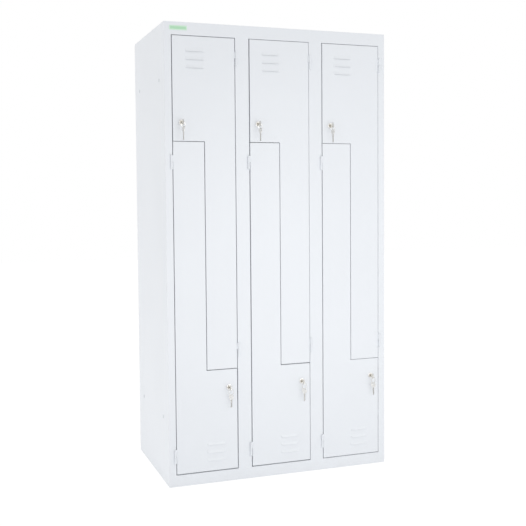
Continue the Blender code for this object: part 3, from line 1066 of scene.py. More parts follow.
@dataclass
class Carcass(SubAssembly):
    """Face frame, side sheets and the small fittings that stay with them."""

    body: str = "carcass"
    carried: tuple[str, ...] = (
        "back_panel", "top_panel", "bottom_panel", "column_divider_", "z_partition_"
    )
    fold: float = 0.0014  # outer radius of a bend
    fold_steps: int = 4
    face_edge: float = 0.0008
    stop_lip: float = 0.011
    hole_radius: float = 0.005
    hole_inset: float = 0.090  # from the front and back
    hole_above: float = 0.252  # from the floor
    hole_below: float = 0.206  # from the roof
    cap_radius: float = 0.0068
    cap_height: float = 0.0011
    cap_sides: int = 32
    cap_dome: Pairs = ((1, 0), (1, 0.35), (0.93, 0.75), (0.7, 0.95), (0.35, 1), (0, 1))
    cap_barb: Pairs = (  # out from the stem, in from the sheet's face
        (-0.0014, 0.0050), (-0.0006, 0.0026), (0.0002, 0.0022), (0.0002, 0.0018),
        (0, SHEET), (0, -SEAM),
    )
    buffer_radius: float = 0.004
    buffer_reach: float = 0.0021
    buffer_play: float = 0.00009  # between its foot and the stop lip
    buffer_sides: int = 24
    buffer_dome: Pairs = ((1, 0.45), (0.9, 0.75), (0.65, 0.94), (0.3, 1), (0, 1))
    buffer_share: float = 0.55  # of the stop lip's width, from the doorway's side
    buffer_inset: float = 0.040  # from the end of the opening
    label_corner: float = 0.002
    label_steps: int = 6
    label_insets: Pairs = ((0.0007, 0.00012), (0.0005, -0.00008))  # width and depth of each
    hook_width: float = 0.036
    hook_depth: float = 0.016
    hook_corner: float = 0.0048
    hook_metal: float = 0.0025
    hook_arm: float = 0.009
    hook_drop: float = 0.034
    hook_bend: float = 0.011
    hook_steps: int = 14
    hook_edge: float = 0.0004
    prong_share: float = 0.45  # of the arm's width and thickness, each way
    prong_end: tuple[float, float] = (0.3, 0.8)  # out and up, as shares of the bend

    def face_frame(self) -> bpy.types.Object:
        """Face plate with a folded sleeve and a stop lip round each doorway.

        Returns:
            The finished piece.
        """
        plan = self.layout
        low, high = (-plan.half_width, plan.face, 0), (plan.half_width, plan.face, plan.height)
        made = Bench.sheet(low, high, -BACK)
        for centre in plan.columns:
            for side in (-1, 1):
                made.slice((centre + side * plan.opening_half, 0, 0), RIGHT)
        sill, head = plan.leaf_low - plan.gap, plan.leaf_high + plan.gap
        for height in (sill, head):
            made.slice((0, 0, height), UP)

        def in_doorway(middle: Vector, normal: Vector) -> bool:
            """Whether a face closes a doorway."""
            near_column = min(abs(middle.x - centre) for centre in plan.columns)
            return near_column < plan.opening_half and between(middle.z, sill, head)

        def on_rim(middle: Vector, way: Vector) -> bool:
            """Whether an edge lies on the outer rim of the plate's front."""
            at_end = near(middle.z, 0) or near(middle.z, plan.height)
            return near(middle.y, plan.face) and (near(abs(middle.x), plan.half_width) or at_end)

        made.pick(Part.FACE, in_doorway).extrude((0, plan.stop_front - plan.face, 0))
        made.inset(self.stop_lip).delete(Part.FACE)
        made.pick_folds().bevel(self.fold, self.fold_steps).wall(SHEET)
        return made.pick(Part.EDGE, on_rim).bevel(self.face_edge, self.fold_steps).done()

    def side_sheet(self) -> bpy.types.Object:
        """Left side with its front and back edges folded in and its joining holes.

        Returns:
            The finished piece.
        """
        low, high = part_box("left_side_panel")
        made = Bench.sheet(low, (low.x, high.y, high.z), -RIGHT)
        made.pick(Part.EDGE, lambda middle, way: near(middle.y, low.y) or near(middle.y, high.y))
        made.extrude((high.x - low.x, 0, 0))
        made.pick_folds().bevel(self.fold, self.fold_steps).wall(SHEET)
        cutters = [
            Bench.rod(self.hole_radius, Axis.X, -OVERRUN, OVERRUN, place, self.cap_sides)
            for place in self.hole_places()
        ]
        return made.boolean(Change.CUT, cutters).done()

    def hole_places(self) -> list[Vector]:
        """Where the joining holes pass the left side's outer face.

        Returns:
            Their middles.
        """
        plan = self.layout
        depths = (plan.face + self.hole_inset, plan.back - self.hole_inset)
        heights = (self.hole_above, plan.height - self.hole_below)
        return [Vector((-plan.half_width, y, z)) for y in depths for z in heights]

    def hole_cap(self, place: Vector) -> bpy.types.Object:
        """Domed plastic cap with a barbed stem that closes a joining hole.

        Args:
            place: the hole's middle on the outer face of the left side.

        Returns:
            The finished piece.
        """
        stem = self.hole_radius - SEAM
        profile = [(stem + out, along) for out, along in self.cap_barb]
        profile += dome(self.cap_radius, -SEAM, -self.cap_height, self.cap_dome)
        return Bench.turned(profile, Axis.X, place, self.cap_sides).done(weighted=False)

    def label(self) -> bpy.types.Object:
        """Bare label plate with round corners and a softened rim.

        Returns:
            The finished piece.
        """
        made = Bench.block(*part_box("label_plate"))
        made.pick(Part.EDGE, lambda middle, way: abs(way.y) > ALONG)
        made.bevel(self.label_corner, self.label_steps)
        made.pick(Part.FACE, lambda middle, normal: normal.y < -ALONG)
        for width, depth in self.label_insets:
            made.inset(width, depth)
        return made.done()

    def coat_hook(self, top: Vector) -> bpy.types.Object:
        """Double hook of pressed steel under a shelf or the roof.

        Args:
            top: the middle of its foot, against what it hangs from.

        Returns:
            The finished piece.
        """
        metal, arm = self.hook_metal, self.hook_arm / 2
        foot = Vector((self.hook_width / 2, self.hook_depth / 2, 0))
        made = Bench.block(top - foot - UP * metal, top + foot)
        made.pick(Part.EDGE, lambda middle, way: abs(way.z) > ALONG)
        made.bevel(self.hook_corner, self.fold_steps)
        low = top - Vector((arm, metal / 2, self.hook_drop))
        stem = Bench.block(low, top + Vector((arm, metal / 2, -metal / 2)))
        root = Vector((top.x, top.y, low.z + metal))
        made.boolean(Change.ADD, [stem] + [self.prong(root, way) for way in (-1, 1)])
        return made.ease(self.hook_edge).done()

    def prong(self, root: Vector, way: int) -> Bench:
        """One upturned arm of a coat hook.

        Args:
            root: where it leaves the stem.
            way: 1 to the back, -1 to the front.

        Returns:
            The arm in hand.
        """
        bend, (out, up) = self.hook_bend, self.prong_end
        half = Vector((self.hook_arm, self.hook_metal, 0)) * self.prong_share
        made = Bench.sheet(root - half, root + half, UP).pick_all()
        made.spin(-way * math.pi, self.hook_steps, root + BACK * way * bend, RIGHT)
        made.pick(
            Part.FACE,
            lambda middle, normal: near(middle.z, root.z) and abs(middle.y - root.y) > bend,
        )
        return made.extrude((0, way * bend * out, bend * up)).outwards()

    def buffer(self, place: Vector) -> bpy.types.Object:
        """Rubber stud that a closing door meets.

        Args:
            place: the middle of its foot on the stop lip.

        Returns:
            The finished piece.
        """
        profile = [(self.buffer_radius, -self.buffer_play)]
        profile += dome(self.buffer_radius, 0, -self.buffer_reach, self.buffer_dome)
        return Bench.turned(profile, Axis.Y, place, self.buffer_sides).done(weighted=False)

    def build(self) -> None:
        """Make and dress everything that stays with the carcass."""
        plan, looks = self.layout, self.finishes
        for name, node in frame["nodes"].items():
            if name.startswith(self.carried):
                node.data.materials.clear()
                node.data.materials.append(looks.paint)
                log.info("%s: packed node, painted", name)
        face = self.face_frame()
        settle(face, "face_frame", looks.paint, self.body, ["front_frame"])
        sheet = self.side_sheet()
        for side, piece in (("right", copy_of(sheet, MIRROR)), ("left", sheet)):
            name, node = f"{side}_side_sheet", f"{side}_side_panel"
            settle(piece, name, looks.paint, self.body, [node])
        for number, place in enumerate(self.hole_places(), start=1):
            cap = self.hole_cap(place)
            for side, piece in (("right", copy_of(cap, MIRROR)), ("left", cap)):
                settle(piece, f"{side}_hole_cap_{number}", looks.plug, self.body)
        enamel = EnamelLabel().material(*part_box("label_plate"))
        settle(self.label(), "label_badge", enamel, self.body, ["label_plate"])
        shelf = plan.step + plan.gap / 2 - SHEET / 2 - SEAM
        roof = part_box("top_panel")[1].z - SHEET - SEAM
        for row, height in ((Row.UPPER, roof), (Row.LOWER, shelf)):
            self.fit_hooks(row, height)
            self.fit_buffers(row)

    def fit_hooks(self, row: Row, height: float) -> None:
        """Hang a hook in the hanging space behind each door of a row.

        Args:
            row: the row.
            height: the underside that they hang from.
        """
        plan = self.layout
        across = plan.columns[0] + row.side * plan.opening_half / 2
        pattern = self.coat_hook(Vector((across, (plan.face + plan.back) / 2, height)))
        for number, piece in self.in_columns(pattern):
            settle(piece, f"{row.value}_hook_{number}", self.finishes.zinc, self.body)

    def fit_buffers(self, row: Row) -> None:
        """Set two rubber studs behind the lock side of each door of a row.

        Args:
            row: the row.
        """
        plan = self.layout
        across = plan.opening_half - self.stop_lip * self.buffer_share
        ends = (plan.leaf_high - self.buffer_inset, plan.step + self.buffer_inset)
        for index, end in enumerate(ends, start=1):
            height = plan.middle + row.side * (end - plan.middle)
            place = Vector((plan.columns[0] - row.side * across, plan.stop_front, height))
            for number, piece in self.in_columns(self.buffer(place)):
                name = f"{row.value}_buffer_{number}_{index}"
                settle(piece, name, self.finishes.rubber, self.body)


@dataclass(frozen=True)
class Fit:
    """How far a door's edges stand past their drawn places, as folding and hanging left them."""

    hinge: float = 0
    lock: float = 0
    leg: float = 0
    wide_end: float = 0
    leg_end: float = 0


FITS = {
    Row.UPPER: (
        Fit(hinge=0.0004, lock=-0.0002, wide_end=0.0005),
        Fit(hinge=0.0015, lock=-0.0010, wide_end=0.0010, leg_end=-0.0004),
        Fit(hinge=0.0014, lock=-0.0003, wide_end=0.0009, leg_end=0.0010),
    ),
    Row.LOWER: (
        Fit(hinge=0.0003, lock=-0.0005, leg=0.0003, wide_end=-0.0010, leg_end=0.0007),
        Fit(hinge=-0.0007, lock=0.0010, leg=0.0006, wide_end=-0.0008, leg_end=0.0005),
        Fit(lock=0.0010, leg=0.0006, leg_end=0.0012),
    ),
}


@dataclass
class Door(RowAssembly):
    """One L-shaped pan door: skin, folded rim, louvres and stiffener."""

    depth: float = 0.018
    lip: float = 0.012
    fold: float = 0.0013
    fold_steps: int = 4
    louvre_count: int = 3
    louvre_length: float = 0.074
    louvre_height: float = 0.0155
    louvre_reach: float = 0.0035
    louvre_lean: float = 0.00375  # how far the upper edge lies behind the lower one
    louvre_pitch: float = 0.0303
    louvre_margin: float = 0.0407
    louvre_centre: float = 0.086
    louvre_metal: float = 0.0008
    louvre_brow: float = 0.0016  # solid metal over a hood's hollow
    louvre_cheek: float = 0.00072  # solid metal beside a hood's window
    louvre_round: float = 0.0024
    louvre_hollow_round: float = 0.00176
    louvre_taper: float = 0.005  # how much shorter each end of a hood is at its front
    lock_hole: float = 0.0083
    lock_hole_sides: int = 40
    web_width: float = 0.026
    web_rise: float = 0.0095
    web_lean: float = 0.25  # sideways, as a share of the rise
    web_metal: float = 0.0008
    flange: float = 0.011
    web_end: float = 0.055  # from the door's ends to the stiffener's

    def up(self, distance: float) -> float:
        """A height at a distance from the doors' middle towards the wide end."""
        return self.layout.middle + self.row.side * distance

    @property
    def ends(self) -> tuple[float, float]:
        """Where the leg ends and the wide end ends, from the doors' middle."""
        plan = self.layout
        return plan.leg_end - plan.middle, plan.leaf_high - plan.middle

    @property
    def step(self) -> float:
        """Where the door steps out to its full width, from the doors' middle."""
        return self.layout.step + self.layout.gap - self.layout.middle

    def shell(self) -> Bench:
        """Folded pan with its rim, in one skin.

        Returns:
            The walled pan in hand.
        """
        plan, side, (low_end, high_end) = self.layout, self.row.side, self.ends
        half, back = plan.leaf_half, plan.face + self.depth
        low, high = self.span(
            (self.across(-half), back, self.up(low_end)),
            (self.across(half), back, self.up(high_end)),
        )
        made = Bench.sheet(low, high, -BACK)
        inner_x, inner_z = self.across(plan.gap / 2), self.up(self.step)
        made.slice((inner_x, 0, 0), RIGHT).slice((0, 0, inner_z), UP)

        def beside_leg(middle: Vector, normal: Vector) -> bool:
            """Whether a face lies where the other door is."""
            return (middle.x - inner_x) * side < 0 and (middle.z - inner_z) * side < 0

        made.pick(Part.FACE, beside_leg).delete(Part.FACE)
        made.pick_all().extrude((0, -self.depth, 0))
        made.pick(Part.FACE, lambda middle, normal: near(middle.y, back))
        made.inset(self.lip).delete(Part.FACE).outwards_of_open(-BACK)
        return made.pick_folds().bevel(self.fold, self.fold_steps).wall(SHEET)

    def wedge(self, bottom: float, top: float, back: float, skin: float, rounding: float) -> Bench:
        """Block with a leaning, rounded front: the outside of a louvre, or the hollow of one.

        Args:
            bottom: height of its underside.
            top: height of its upper edge.
            back: depth of its back.
            skin: how far it lies inside the louvre's outside.
            rounding: radius of its edges.

        Returns:
            The block in hand.
        """
        face, middle = self.layout.face, self.louvre_middle
        half = self.louvre_length / 2 - skin
        front = face - self.louvre_reach + skin
        lean = self.louvre_lean * (1 - 2 * skin / self.louvre_height)
        made = Bench.block((middle - half, front, bottom), (middle + half, back, top))
        made.pick(Part.EDGE, lambda place, way: near(place.y, front) and near(place.z, top))
        made.move((0, lean, 0))
        made.pick(Part.EDGE, lambda place, way: near(place.y, front) and near(place.z, bottom))
        made.resize((1 - self.louvre_taper / half, 1, 1), Vector((middle, front, bottom)))
        made.pick(Part.EDGE, lambda place, way: place.y < face - SEAM and abs(way.x) < ALONG)
        return made.bevel(rounding, self.fold_steps)

    @property
    def louvre_middle(self) -> float:
        """The middle of the louvres across the door."""
        return self.across(self.louvre_centre - self.layout.leaf_half)

    def louvre(self, top: float) -> tuple[Bench, Bench]:
        """Pressed hood of one louvre and the window that is cut behind it.

        Args:
            top: height of the louvre's upper edge.

        Returns:
            The window's cutter and the hood, both in hand.
        """
        face, metal = self.layout.face, self.louvre_metal
        bottom, under_brow = top - self.louvre_height, top - self.louvre_brow
        hood = self.wedge(bottom, top, face + SHEET / 2, 0, self.louvre_round)
        hollow = self.wedge(
            bottom - OVERRUN, under_brow, face + OVERRUN, metal, self.louvre_hollow_round
        )
        half = self.louvre_length / 2 - self.louvre_cheek
        window = Bench.block(
            (self.louvre_middle - half, face - OVERRUN, bottom + SEAM / 2),
            (self.louvre_middle + half, face + SHEET + OVERRUN, under_brow),
        )
        return window, hood.boolean(Change.CUT, [hollow])

    def leaf(self) -> bpy.types.Object:
        """The whole door skin with its louvres and lock hole.

        Returns:
            The finished piece.
        """
        plan, made = self.layout, self.shell()
        first = plan.leaf_high - self.louvre_margin
        if self.row is Row.LOWER:
            group = self.louvre_height + (self.louvre_count - 1) * self.louvre_pitch
            first = plan.leaf_low + self.louvre_margin + group
        tops = [first - index * self.louvre_pitch for index in range(self.louvre_count)]
        pairs = [self.louvre(top) for top in tops]
        lock = plan.joint_place(f"{self.row.value}_1_lock_turn")
        ends = -OVERRUN, SHEET + OVERRUN
        bore = Bench.rod(self.lock_hole, Axis.Y, *ends, lock, self.lock_hole_sides)
        made.boolean(Change.CUT, [window for window, _ in pairs] + [bore])
        return made.boolean(Change.ADD, [hood for _, hood in pairs]).done()

    def stiffener(self) -> bpy.types.Object:
        """Hat-shaped channel welded up the inside of the narrow leg.

        Returns:
            The finished piece.
        """
        plan, half = self.layout, self.web_width / 2
        middle = (plan.gap / 2 + plan.leaf_half) / 2
        skin = plan.face + SHEET + SEAM
        top = skin + self.web_rise
        foot, head = self.ends[0] + self.web_end, self.ends[1] - self.web_end
        low, high = self.span(
            (self.across(middle - half), top, self.up(foot)),
            (self.across(middle + half), top, self.up(head)),
        )
        made = Bench.sheet(low, high, BACK)
        for side, edge in ((-1, low.x), (1, high.x)):
            made.pick(Part.EDGE, lambda middle, way: near(middle.x, edge) and near(middle.y, top))
            made.extrude((side * self.web_rise * self.web_lean, skin + self.web_metal - top, 0))
            made.extrude((side * self.flange, 0, 0))

        def is_bend(middle: Vector, way: Vector) -> bool:
            """Whether an edge is one of the channel's four bends."""
            reach = self.flange / 2
            return abs(way.z) > ALONG and low.x - reach < middle.x < high.x + reach

        made.outwards_of_open(BACK).pick(Part.EDGE, is_bend).bevel(self.fold, self.fold_steps)
        return made.wall(self.web_metal).done()

    def hang(self, leaf: bpy.types.Object, number: int) -> None:
        """Move the edges of one column's door to where they hang.

        Args:
            leaf: the door's skin, in place.
            number: the column, from one.
        """
        plan, side, (low_end, high_end) = self.layout, self.row.side, self.ends
        fit = FITS[self.row][(number - 1) % len(FITS[self.row])]
        rim, half, leg = self.lip + SHEET, plan.leaf_half, plan.gap / 2
        regions = (
            (side * fit.hinge, 0, lambda x, z: x > half - rim),
            (-side * fit.lock, 0, lambda x, z: x < rim - half),
            (-side * fit.leg, 0, lambda x, z: -SHEET < x - leg < rim and z < self.step + rim),
            (0, side * fit.wide_end, lambda x, z: z > high_end - rim),
            (0, -side * fit.leg_end, lambda x, z: z < low_end + rim),
        )
        made, centre = Bench.take(leaf), plan.columns[number - 1]
        for along, up, inside in regions:

            def on_edge(place: Vector, normal: Vector) -> bool:
                """Whether a point belongs to the edge that moves."""
                return inside((place.x - centre) * side, (place.z - plan.middle) * side)

            made.pick(Part.POINT, on_edge).move((along, 0, up))
        made.clear()

    def build(self) -> None:
        """Make both pieces for the first column and copy them to the others."""
        paint, row = self.finishes.paint, self.row.value
        for number, piece in self.in_columns(self.leaf()):
            self.hang(piece, number)
            door = f"{row}_door_{number}"
            settle(piece, f"{row}_leaf_{number}", paint, door, [door])
        for number, piece in self.in_columns(self.stiffener()):
            name, door = f"{row}_stiffener_{number}", f"{row}_door_{number}"
            settle(piece, name, paint, door)


@dataclass
class Hinge(RowAssembly):
    """Lift-off hinges: a knuckle on the frame with pin, foot and leaf, and one on the door."""

    radius: float = 0.004
    height: float = 0.027
    edge: float = 0.0007
    sides: int = 32
    pin_radius: float = 0.0022
    pin_reach: float = 0.025
    pin_point: Pairs = ((0.55, 0), (1, -0.45))  # shares of its radius
    mouth: float = 0.00028  # chamfer of the bore that takes the pin
    foot_round: Pairs = ((1, 0.35), (0.895, 0.105), (0.65, 0))  # shares of the knuckle's radius
    foot_width: float = 0.005
    foot_flare: Factors = (1.5, 1, 1.02)  # of its face against the frame
    foot_edge: float = 0.0004
    strap_thickness: float = 0.0022
    strap_depth: float = 0.010
    strap_clearance: float = 0.0006
    strap_reach: float = 1.15  # from the knuckle's axis to its end, in radii of the bore
    strap_edge: float = 0.0003
    weld: float = 0.0006
    leaf_recess: float = 0.0012
    leaf_clearance: float = 0.0003
    leaf_depth: float = 0.012
    leaf_edge: float = 0.0002
    neck_share: float = 0.55  # of the knuckle's radius, from its axis
    neck_width: float = 0.4  # as a share of the leaf's

    def frame_half(self, meet: Vector) -> bpy.types.Object:
        """Knuckle, pin, weld foot and leaf on the frame.

        Args:
            meet: the point of the axis where the two halves meet.

        Returns:
            The finished piece.
        """
        radius, low, high = self.radius, self.edge * 2 - self.height, -self.edge
        profile = [
            (self.pin_radius * share, self.pin_reach + self.pin_radius * rise)
            for share, rise in self.pin_point
        ]
        profile += [(self.pin_radius, 0), (radius - self.edge, 0), (radius, high)]
        profile += dome(radius, -self.height, radius, self.foot_round) + [(0, -self.height)]
        made = Bench.turned(profile, Axis.Z, meet, self.sides)
        half = self.foot_width / 2
        foot = Bench.block(meet + Vector((-half, 0, low)), meet + Vector((half, radius, high)))
        foot.pick(Part.FACE, lambda middle, normal: normal.y > ALONG)
        foot.resize(self.foot_flare, meet).ease(self.foot_edge)
        return made.boolean(Change.ADD, [foot, self.frame_leaf(meet)]).done()

    def frame_leaf(self, meet: Vector) -> Bench:
        """Leaf that runs from the frame's knuckle into the gap beside the door.

        Args:
            meet: the point of the axis where the two halves meet.

        Returns:
            The leaf in hand.
        """
        plan, side = self.layout, self.row.side
        frame_side = self.across(plan.opening_half - self.leaf_clearance)
        door_edge = plan.leaf_half + max(fit.hinge for fit in FITS[self.row])
        door_side = self.across(door_edge + self.leaf_clearance)
        front = plan.face + (self.leaf_recess if self.row is Row.UPPER else SEAM)
        low, high = meet.z + self.edge * 2 - self.height, meet.z - self.edge
        back = plan.face + self.leaf_depth
        leaf = Bench.block(*self.span((frame_side, front, low), (door_side, back, high)))
        leaf.pick(Part.FACE, lambda middle, normal: normal.y < -ALONG)
        into = self.radius * self.neck_share
        neck = Vector((meet.x - side * into, meet.y + into, 0))
        leaf.extrude(neck - Vector(((frame_side + door_side) / 2, front, 0)))
        return leaf.resize((self.neck_width, 1, 1), neck).outwards().ease(self.leaf_edge)

    def door_half(self, meet: Vector) -> bpy.types.Object:
        """Bored knuckle and the strap that runs round the door's edge.

        Args:
            meet: the point of the axis where the two halves meet.

        Returns:
            The finished piece.
        """
        plan, side, radius, edge = self.layout, self.row.side, self.radius, self.edge
        bore, mouth, face = self.pin_radius + SEAM, self.mouth, plan.face - SEAM
        profile = [
            (bore, SEAM), (radius - edge, SEAM), (radius, SEAM + edge),
            (radius, self.height - edge), (radius - edge, self.height),
            (bore + mouth, self.height), (bore, self.height - mouth), (bore, SEAM),
        ]
        made = Bench.turned(profile, Axis.Z, meet, self.sides)
        weld_x = self.across(plan.leaf_half - self.weld)
        free_x = self.across(plan.opening_half - self.strap_clearance)
        low, high = meet.z + SEAM + edge, meet.z + self.height - edge
        strap = Bench.block(*self.span(
            (weld_x, face - self.strap_thickness, low),
            (free_x, plan.face + self.strap_depth, high),
        )).slice((0, face, 0), BACK)
        strap.pick(
            Part.FACE, lambda middle, normal: normal.x * side > ALONG and middle.y < face
        )
        strap.extrude((meet.x - side * bore * self.strap_reach - free_x, 0, 0))
        return made.boolean(Change.ADD, [strap.ease(self.strap_edge)]).done()

    def build(self) -> None:
        """Make the hinge of each height and copy it to each column."""
        row, paint = self.row.value, self.finishes.paint
        axis = self.layout.joint_place(f"{row}_door_1_hinge")
        for end in ("bottom", "top"):
            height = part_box(f"{row}_1_hinge_{end}")[0].z + self.height
            meet = Vector((axis.x, axis.y, height))
            for number, piece in self.in_columns(self.frame_half(meet)):
                node = f"{row}_{number}_hinge_{end}"
                settle(piece, f"{node}_frame_half", paint, "carcass", [node])
            for number, piece in self.in_columns(self.door_half(meet)):
                name = f"{row}_{number}_hinge_{end}_door_half"
                settle(piece, name, paint, f"{row}_door_{number}")


@dataclass
class CamLock(RowAssembly):
    """Cam lock of one door: flanged housing, nut, toothed washer, plug, cam and its screw."""

    sides: int = 56
    head_radius: float = 0.0105
    head_height: float = 0.0030
    head_lip: Pairs = ((0, 0.0006), (0.0003, 0.0002), (0.0009, 0))  # out from the bore, back
    head_rim: Pairs = (  # out from the head's side, back from its front
        (-0.0013, 0), (-0.0005, 0.0003), (-0.0001, 0.0010), (0, 0.0017)
    )
    housing_radius: float = 0.008
    housing_length: float = 0.0185
    thread_pitch: float = 0.001
    thread_depth: float = 0.00045
    thread_start: float = 0.0072
    thread_shape: Pairs = ((1, -0.4), (0.9, -0.25), (0, 0.15))  # shares of depth and pitch
    nut_sides: int = 6
    nut_radius: float = 0.0122
    nut_height: float = 0.0042
    nut_crown: float = 0.90  # radius of the chamfer's top, as a share
    nut_skirt: float = 1.02
    nut_chamfer: float = 0.26  # as a share of the height
    washer_radius: float = 0.0118
    washer_height: float = 0.0007
    washer_land: float = 0.86
    washer_sides: int = 48
    tooth_growth: float = 1.07
    plug_radius: float = 0.006
    plug_tail: float = 0.00372
    plug_tail_length: float = 0.0012
    plug_face: Pairs = (  # in from the plug's side, back from its front
        (0, 0.0004), (0.0004, 0), (0.0010, 0), (0.0011, 0.00025), (0.0014, 0.00025), (0.0015, 0)
    )
    key_height: float = 0.0039
    key_width: float = 0.0013
    keyway_depth: float = 0.023
    keyway_round: float = 0.00078
    keyway_steps: int = 4
    mouth_growth: float = 1.16
    mouth_depth: float = 0.0003
    cam_front: float = 0.0223
    cam_thickness: float = 0.002
    cam_half_width: float = 0.007
    cam_reach: float = 0.033
    cam_taper: float = 0.85
    cam_edge: float = 0.0003
    screw_radius: float = 0.0042
    screw_height: float = 0.0021
    screw_sides: int = 40
    screw_dome: Pairs = ((1, 0), (1, 0.35), (0.93, 0.62), (0.72, 0.88), (0.4, 1), (0, 1))
    recess_reach: float = 0.52  # shares of the screw's radius
    recess_half: float = 0.13
    recess_depth: float = 0.6  # as a share of the height
    recess_taper: float = 0.55

    @property
    def place(self) -> Vector:
        """The lock's axis in the first door's face."""
        return self.layout.joint_place(f"{self.row.value}_1_lock_turn")

    def turned(self, profile: Sequence[tuple[float, float]], sides: int) -> Bench:
        """Turn a piece of the first column's lock."""
        return Bench.turned(profile, Axis.Y, self.place, sides)

    def bar(self, half_x: float, half_z: float, start: float, end: float) -> Bench:
        """Start from a square bar along the lock's axis."""
        half = Vector((half_x, 0, half_z))
        return Bench.block(self.place - half + BACK * start, self.place + half + BACK * end)

    def housing(self) -> bpy.types.Object:
        """Threaded bush with its dished flange.

        Returns:
            The finished piece.
        """
        bore, top, radius = self.plug_radius + SEAM, -self.head_height, self.housing_radius
        profile = [(bore + out, top + back) for out, back in self.head_lip]
        profile += [(self.head_radius + out, top + back) for out, back in self.head_rim]
        profile += [(self.head_radius, -SEAM), (radius, -SEAM)]
        profile += [(radius, self.thread_start - self.thread_pitch)]
        for turn in range(int((self.housing_length - self.thread_start) / self.thread_pitch)):
            start = self.thread_start + turn * self.thread_pitch
            profile += [
                (radius - self.thread_depth * depth, start + self.thread_pitch * along)
                for depth, along in self.thread_shape
            ]
        profile += [(radius - self.thread_depth, self.housing_length), (bore, self.housing_length)]
        return self.turned(profile + profile[:1], self.sides).done()

    def nut(self) -> bpy.types.Object:
        """Hexagonal nut, chamfered on its outer side, with a washer face.

        Returns:
            The finished piece.
        """
        start = SHEET + SEAM + self.washer_height + SEAM
        end, radius, bore = start + self.nut_height, self.nut_radius, self.housing_radius + SEAM / 2
        ring = [(radius, start), (radius, end), (bore, end), (bore, start), (radius, start)]
        skirt, foot = radius * self.nut_skirt, start - SEAM
        round_off = self.turned([
            (radius * self.nut_crown, end + TOUCH * 2),
            (skirt, end - self.nut_height * self.nut_chamfer),
            (skirt, foot),
            (0, foot),
        ], self.sides)
        made = self.turned(ring, self.nut_sides).boolean(Change.CLIP, [round_off])
        ends = start - OVERRUN, end + OVERRUN
        cutter = Bench.rod(bore, Axis.Y, *ends, self.place, self.sides)
        return made.boolean(Change.CUT, [cutter]).done()

    def washer(self) -> bpy.types.Object:
        """Washer with raised teeth round its rim.

        Returns:
            The finished piece.
        """
        start, radius, inner = SHEET + SEAM, self.washer_radius, self.housing_radius + SEAM
        end, sides, place = start + self.washer_height, self.washer_sides, self.place
        profile = [(radius, start), (radius, end), (radius * self.washer_land, end)]
        profile += [(inner, end), (inner, start), (radius, start)]

        def is_tooth(middle: Vector, normal: Vector) -> bool:
            """Whether a face of the outer rim is one that stands out as a tooth.

            Args:
                middle: the face's middle.
                normal: its normal.

            Returns:
                True for every second face of the rim.
            """
            flat = middle - place
            if abs(normal.y) > ALONG or math.hypot(flat.x, flat.z) < (radius + inner) / 2:
                return False
            return int(math.atan2(flat.z, flat.x) / (2 * math.pi) * sides + sides) % 2 == 0

        made = self.turned(profile, sides).pick(Part.FACE, is_tooth)
        return made.resize((self.tooth_growth, 1, self.tooth_growth), place).done()

    def plug(self) -> bpy.types.Object:
        """Turning plug with its keyway and a groove round its face.

        Returns:
            The finished piece.
        """
        top, radius, tail = -self.head_height, self.plug_radius, self.plug_tail
        shoulder = self.cam_front - self.plug_tail_length
        profile = [(tail, self.cam_front - SEAM), (tail, shoulder), (radius, shoulder)]
        profile += [(radius - inwards, top + back) for inwards, back in self.plug_face] + [(0, top)]
        made = self.turned(profile, self.sides)
        width, height, start = self.key_width, self.key_height, top - OVERRUN
        slot = self.bar(width, height, start, top + self.keyway_depth)
        slot.pick(Part.EDGE, lambda middle, way: abs(way.y) > ALONG)
        slot.bevel(self.keyway_round, self.keyway_steps)
        growth = self.mouth_growth
        mouth = self.bar(width * growth, height * growth, start, top + self.mouth_depth)
        return made.boolean(Change.CUT, [slot, mouth]).done()

    def cam(self) -> bpy.types.Object:
        """Flat steel arm with round ends that narrows from the lock's axis.

        Returns:
            The finished piece.
        """
        way, half, front = -self.row.side, self.cam_half_width, self.cam_front
        ends = front, front + self.cam_thickness
        made = Bench.rod(half, Axis.Y, *ends, self.place, self.sides)
        made.pick(Part.FACE, lambda middle, normal: normal.z * way > SQUARE)
        made.extrude((0, 0, way * (self.cam_reach - half)))
        made.resize((self.cam_taper, 1, 1), self.place)
        return made.outwards().ease(self.cam_edge).done()

    def screw(self) -> bpy.types.Object:
        """Pan-head screw with a cross recess that holds the cam.

        Returns:
            The finished piece.
        """
        foot = self.cam_front + self.cam_thickness + SEAM * 2
        height, top = self.screw_height, foot + self.screw_height
        profile = dome(self.screw_radius, foot, height, self.screw_dome)
        made = self.turned(profile, self.screw_sides)
        arm, blade = self.screw_radius * self.recess_reach, self.screw_radius * self.recess_half
        for half_x, half_z in ((arm, blade), (blade, arm)):
            cut = self.bar(half_x, half_z, top - height * self.recess_depth, top + OVERRUN)
            cut.pick(Part.FACE, lambda middle, normal: normal.y < -ALONG)
            cut.resize((self.recess_taper, 1, self.recess_taper), self.place)
            made.boolean(Change.CUT, [cut])
        return made.done()

    def build(self) -> None:
        """Make one lock and copy it to each column."""
        row, looks = self.row.value, self.finishes
        for name, pattern, finish, node, on_door in (
            ("lock_bush", self.housing(), looks.nickel, "lock_housing", True),
            ("lock_nut", self.nut(), looks.zinc, None, True),
            ("lock_washer", self.washer(), looks.zinc, None, True),
            # the core's face carries painted shade for the lock's dark reflections, besides its own
            # duller colour
            ("lock_core", self.plug(), looks.brass, "lock_plug", False),
            ("lock_cam", self.cam(), looks.zinc, None, False),
            ("cam_screw", self.screw(), looks.zinc, None, False),
        ):
            for number, piece in self.in_columns(pattern):
                label = f"{row}_{number}"
                body = f"{row}_door_{number}" if on_door else f"{label}_lock_plug"
                slot, nodes = (Slot.NICKEL, [f"{label}_{node}"]) if node else (None, [])
                settle(piece, f"{label}_{name}", finish, body, nodes)


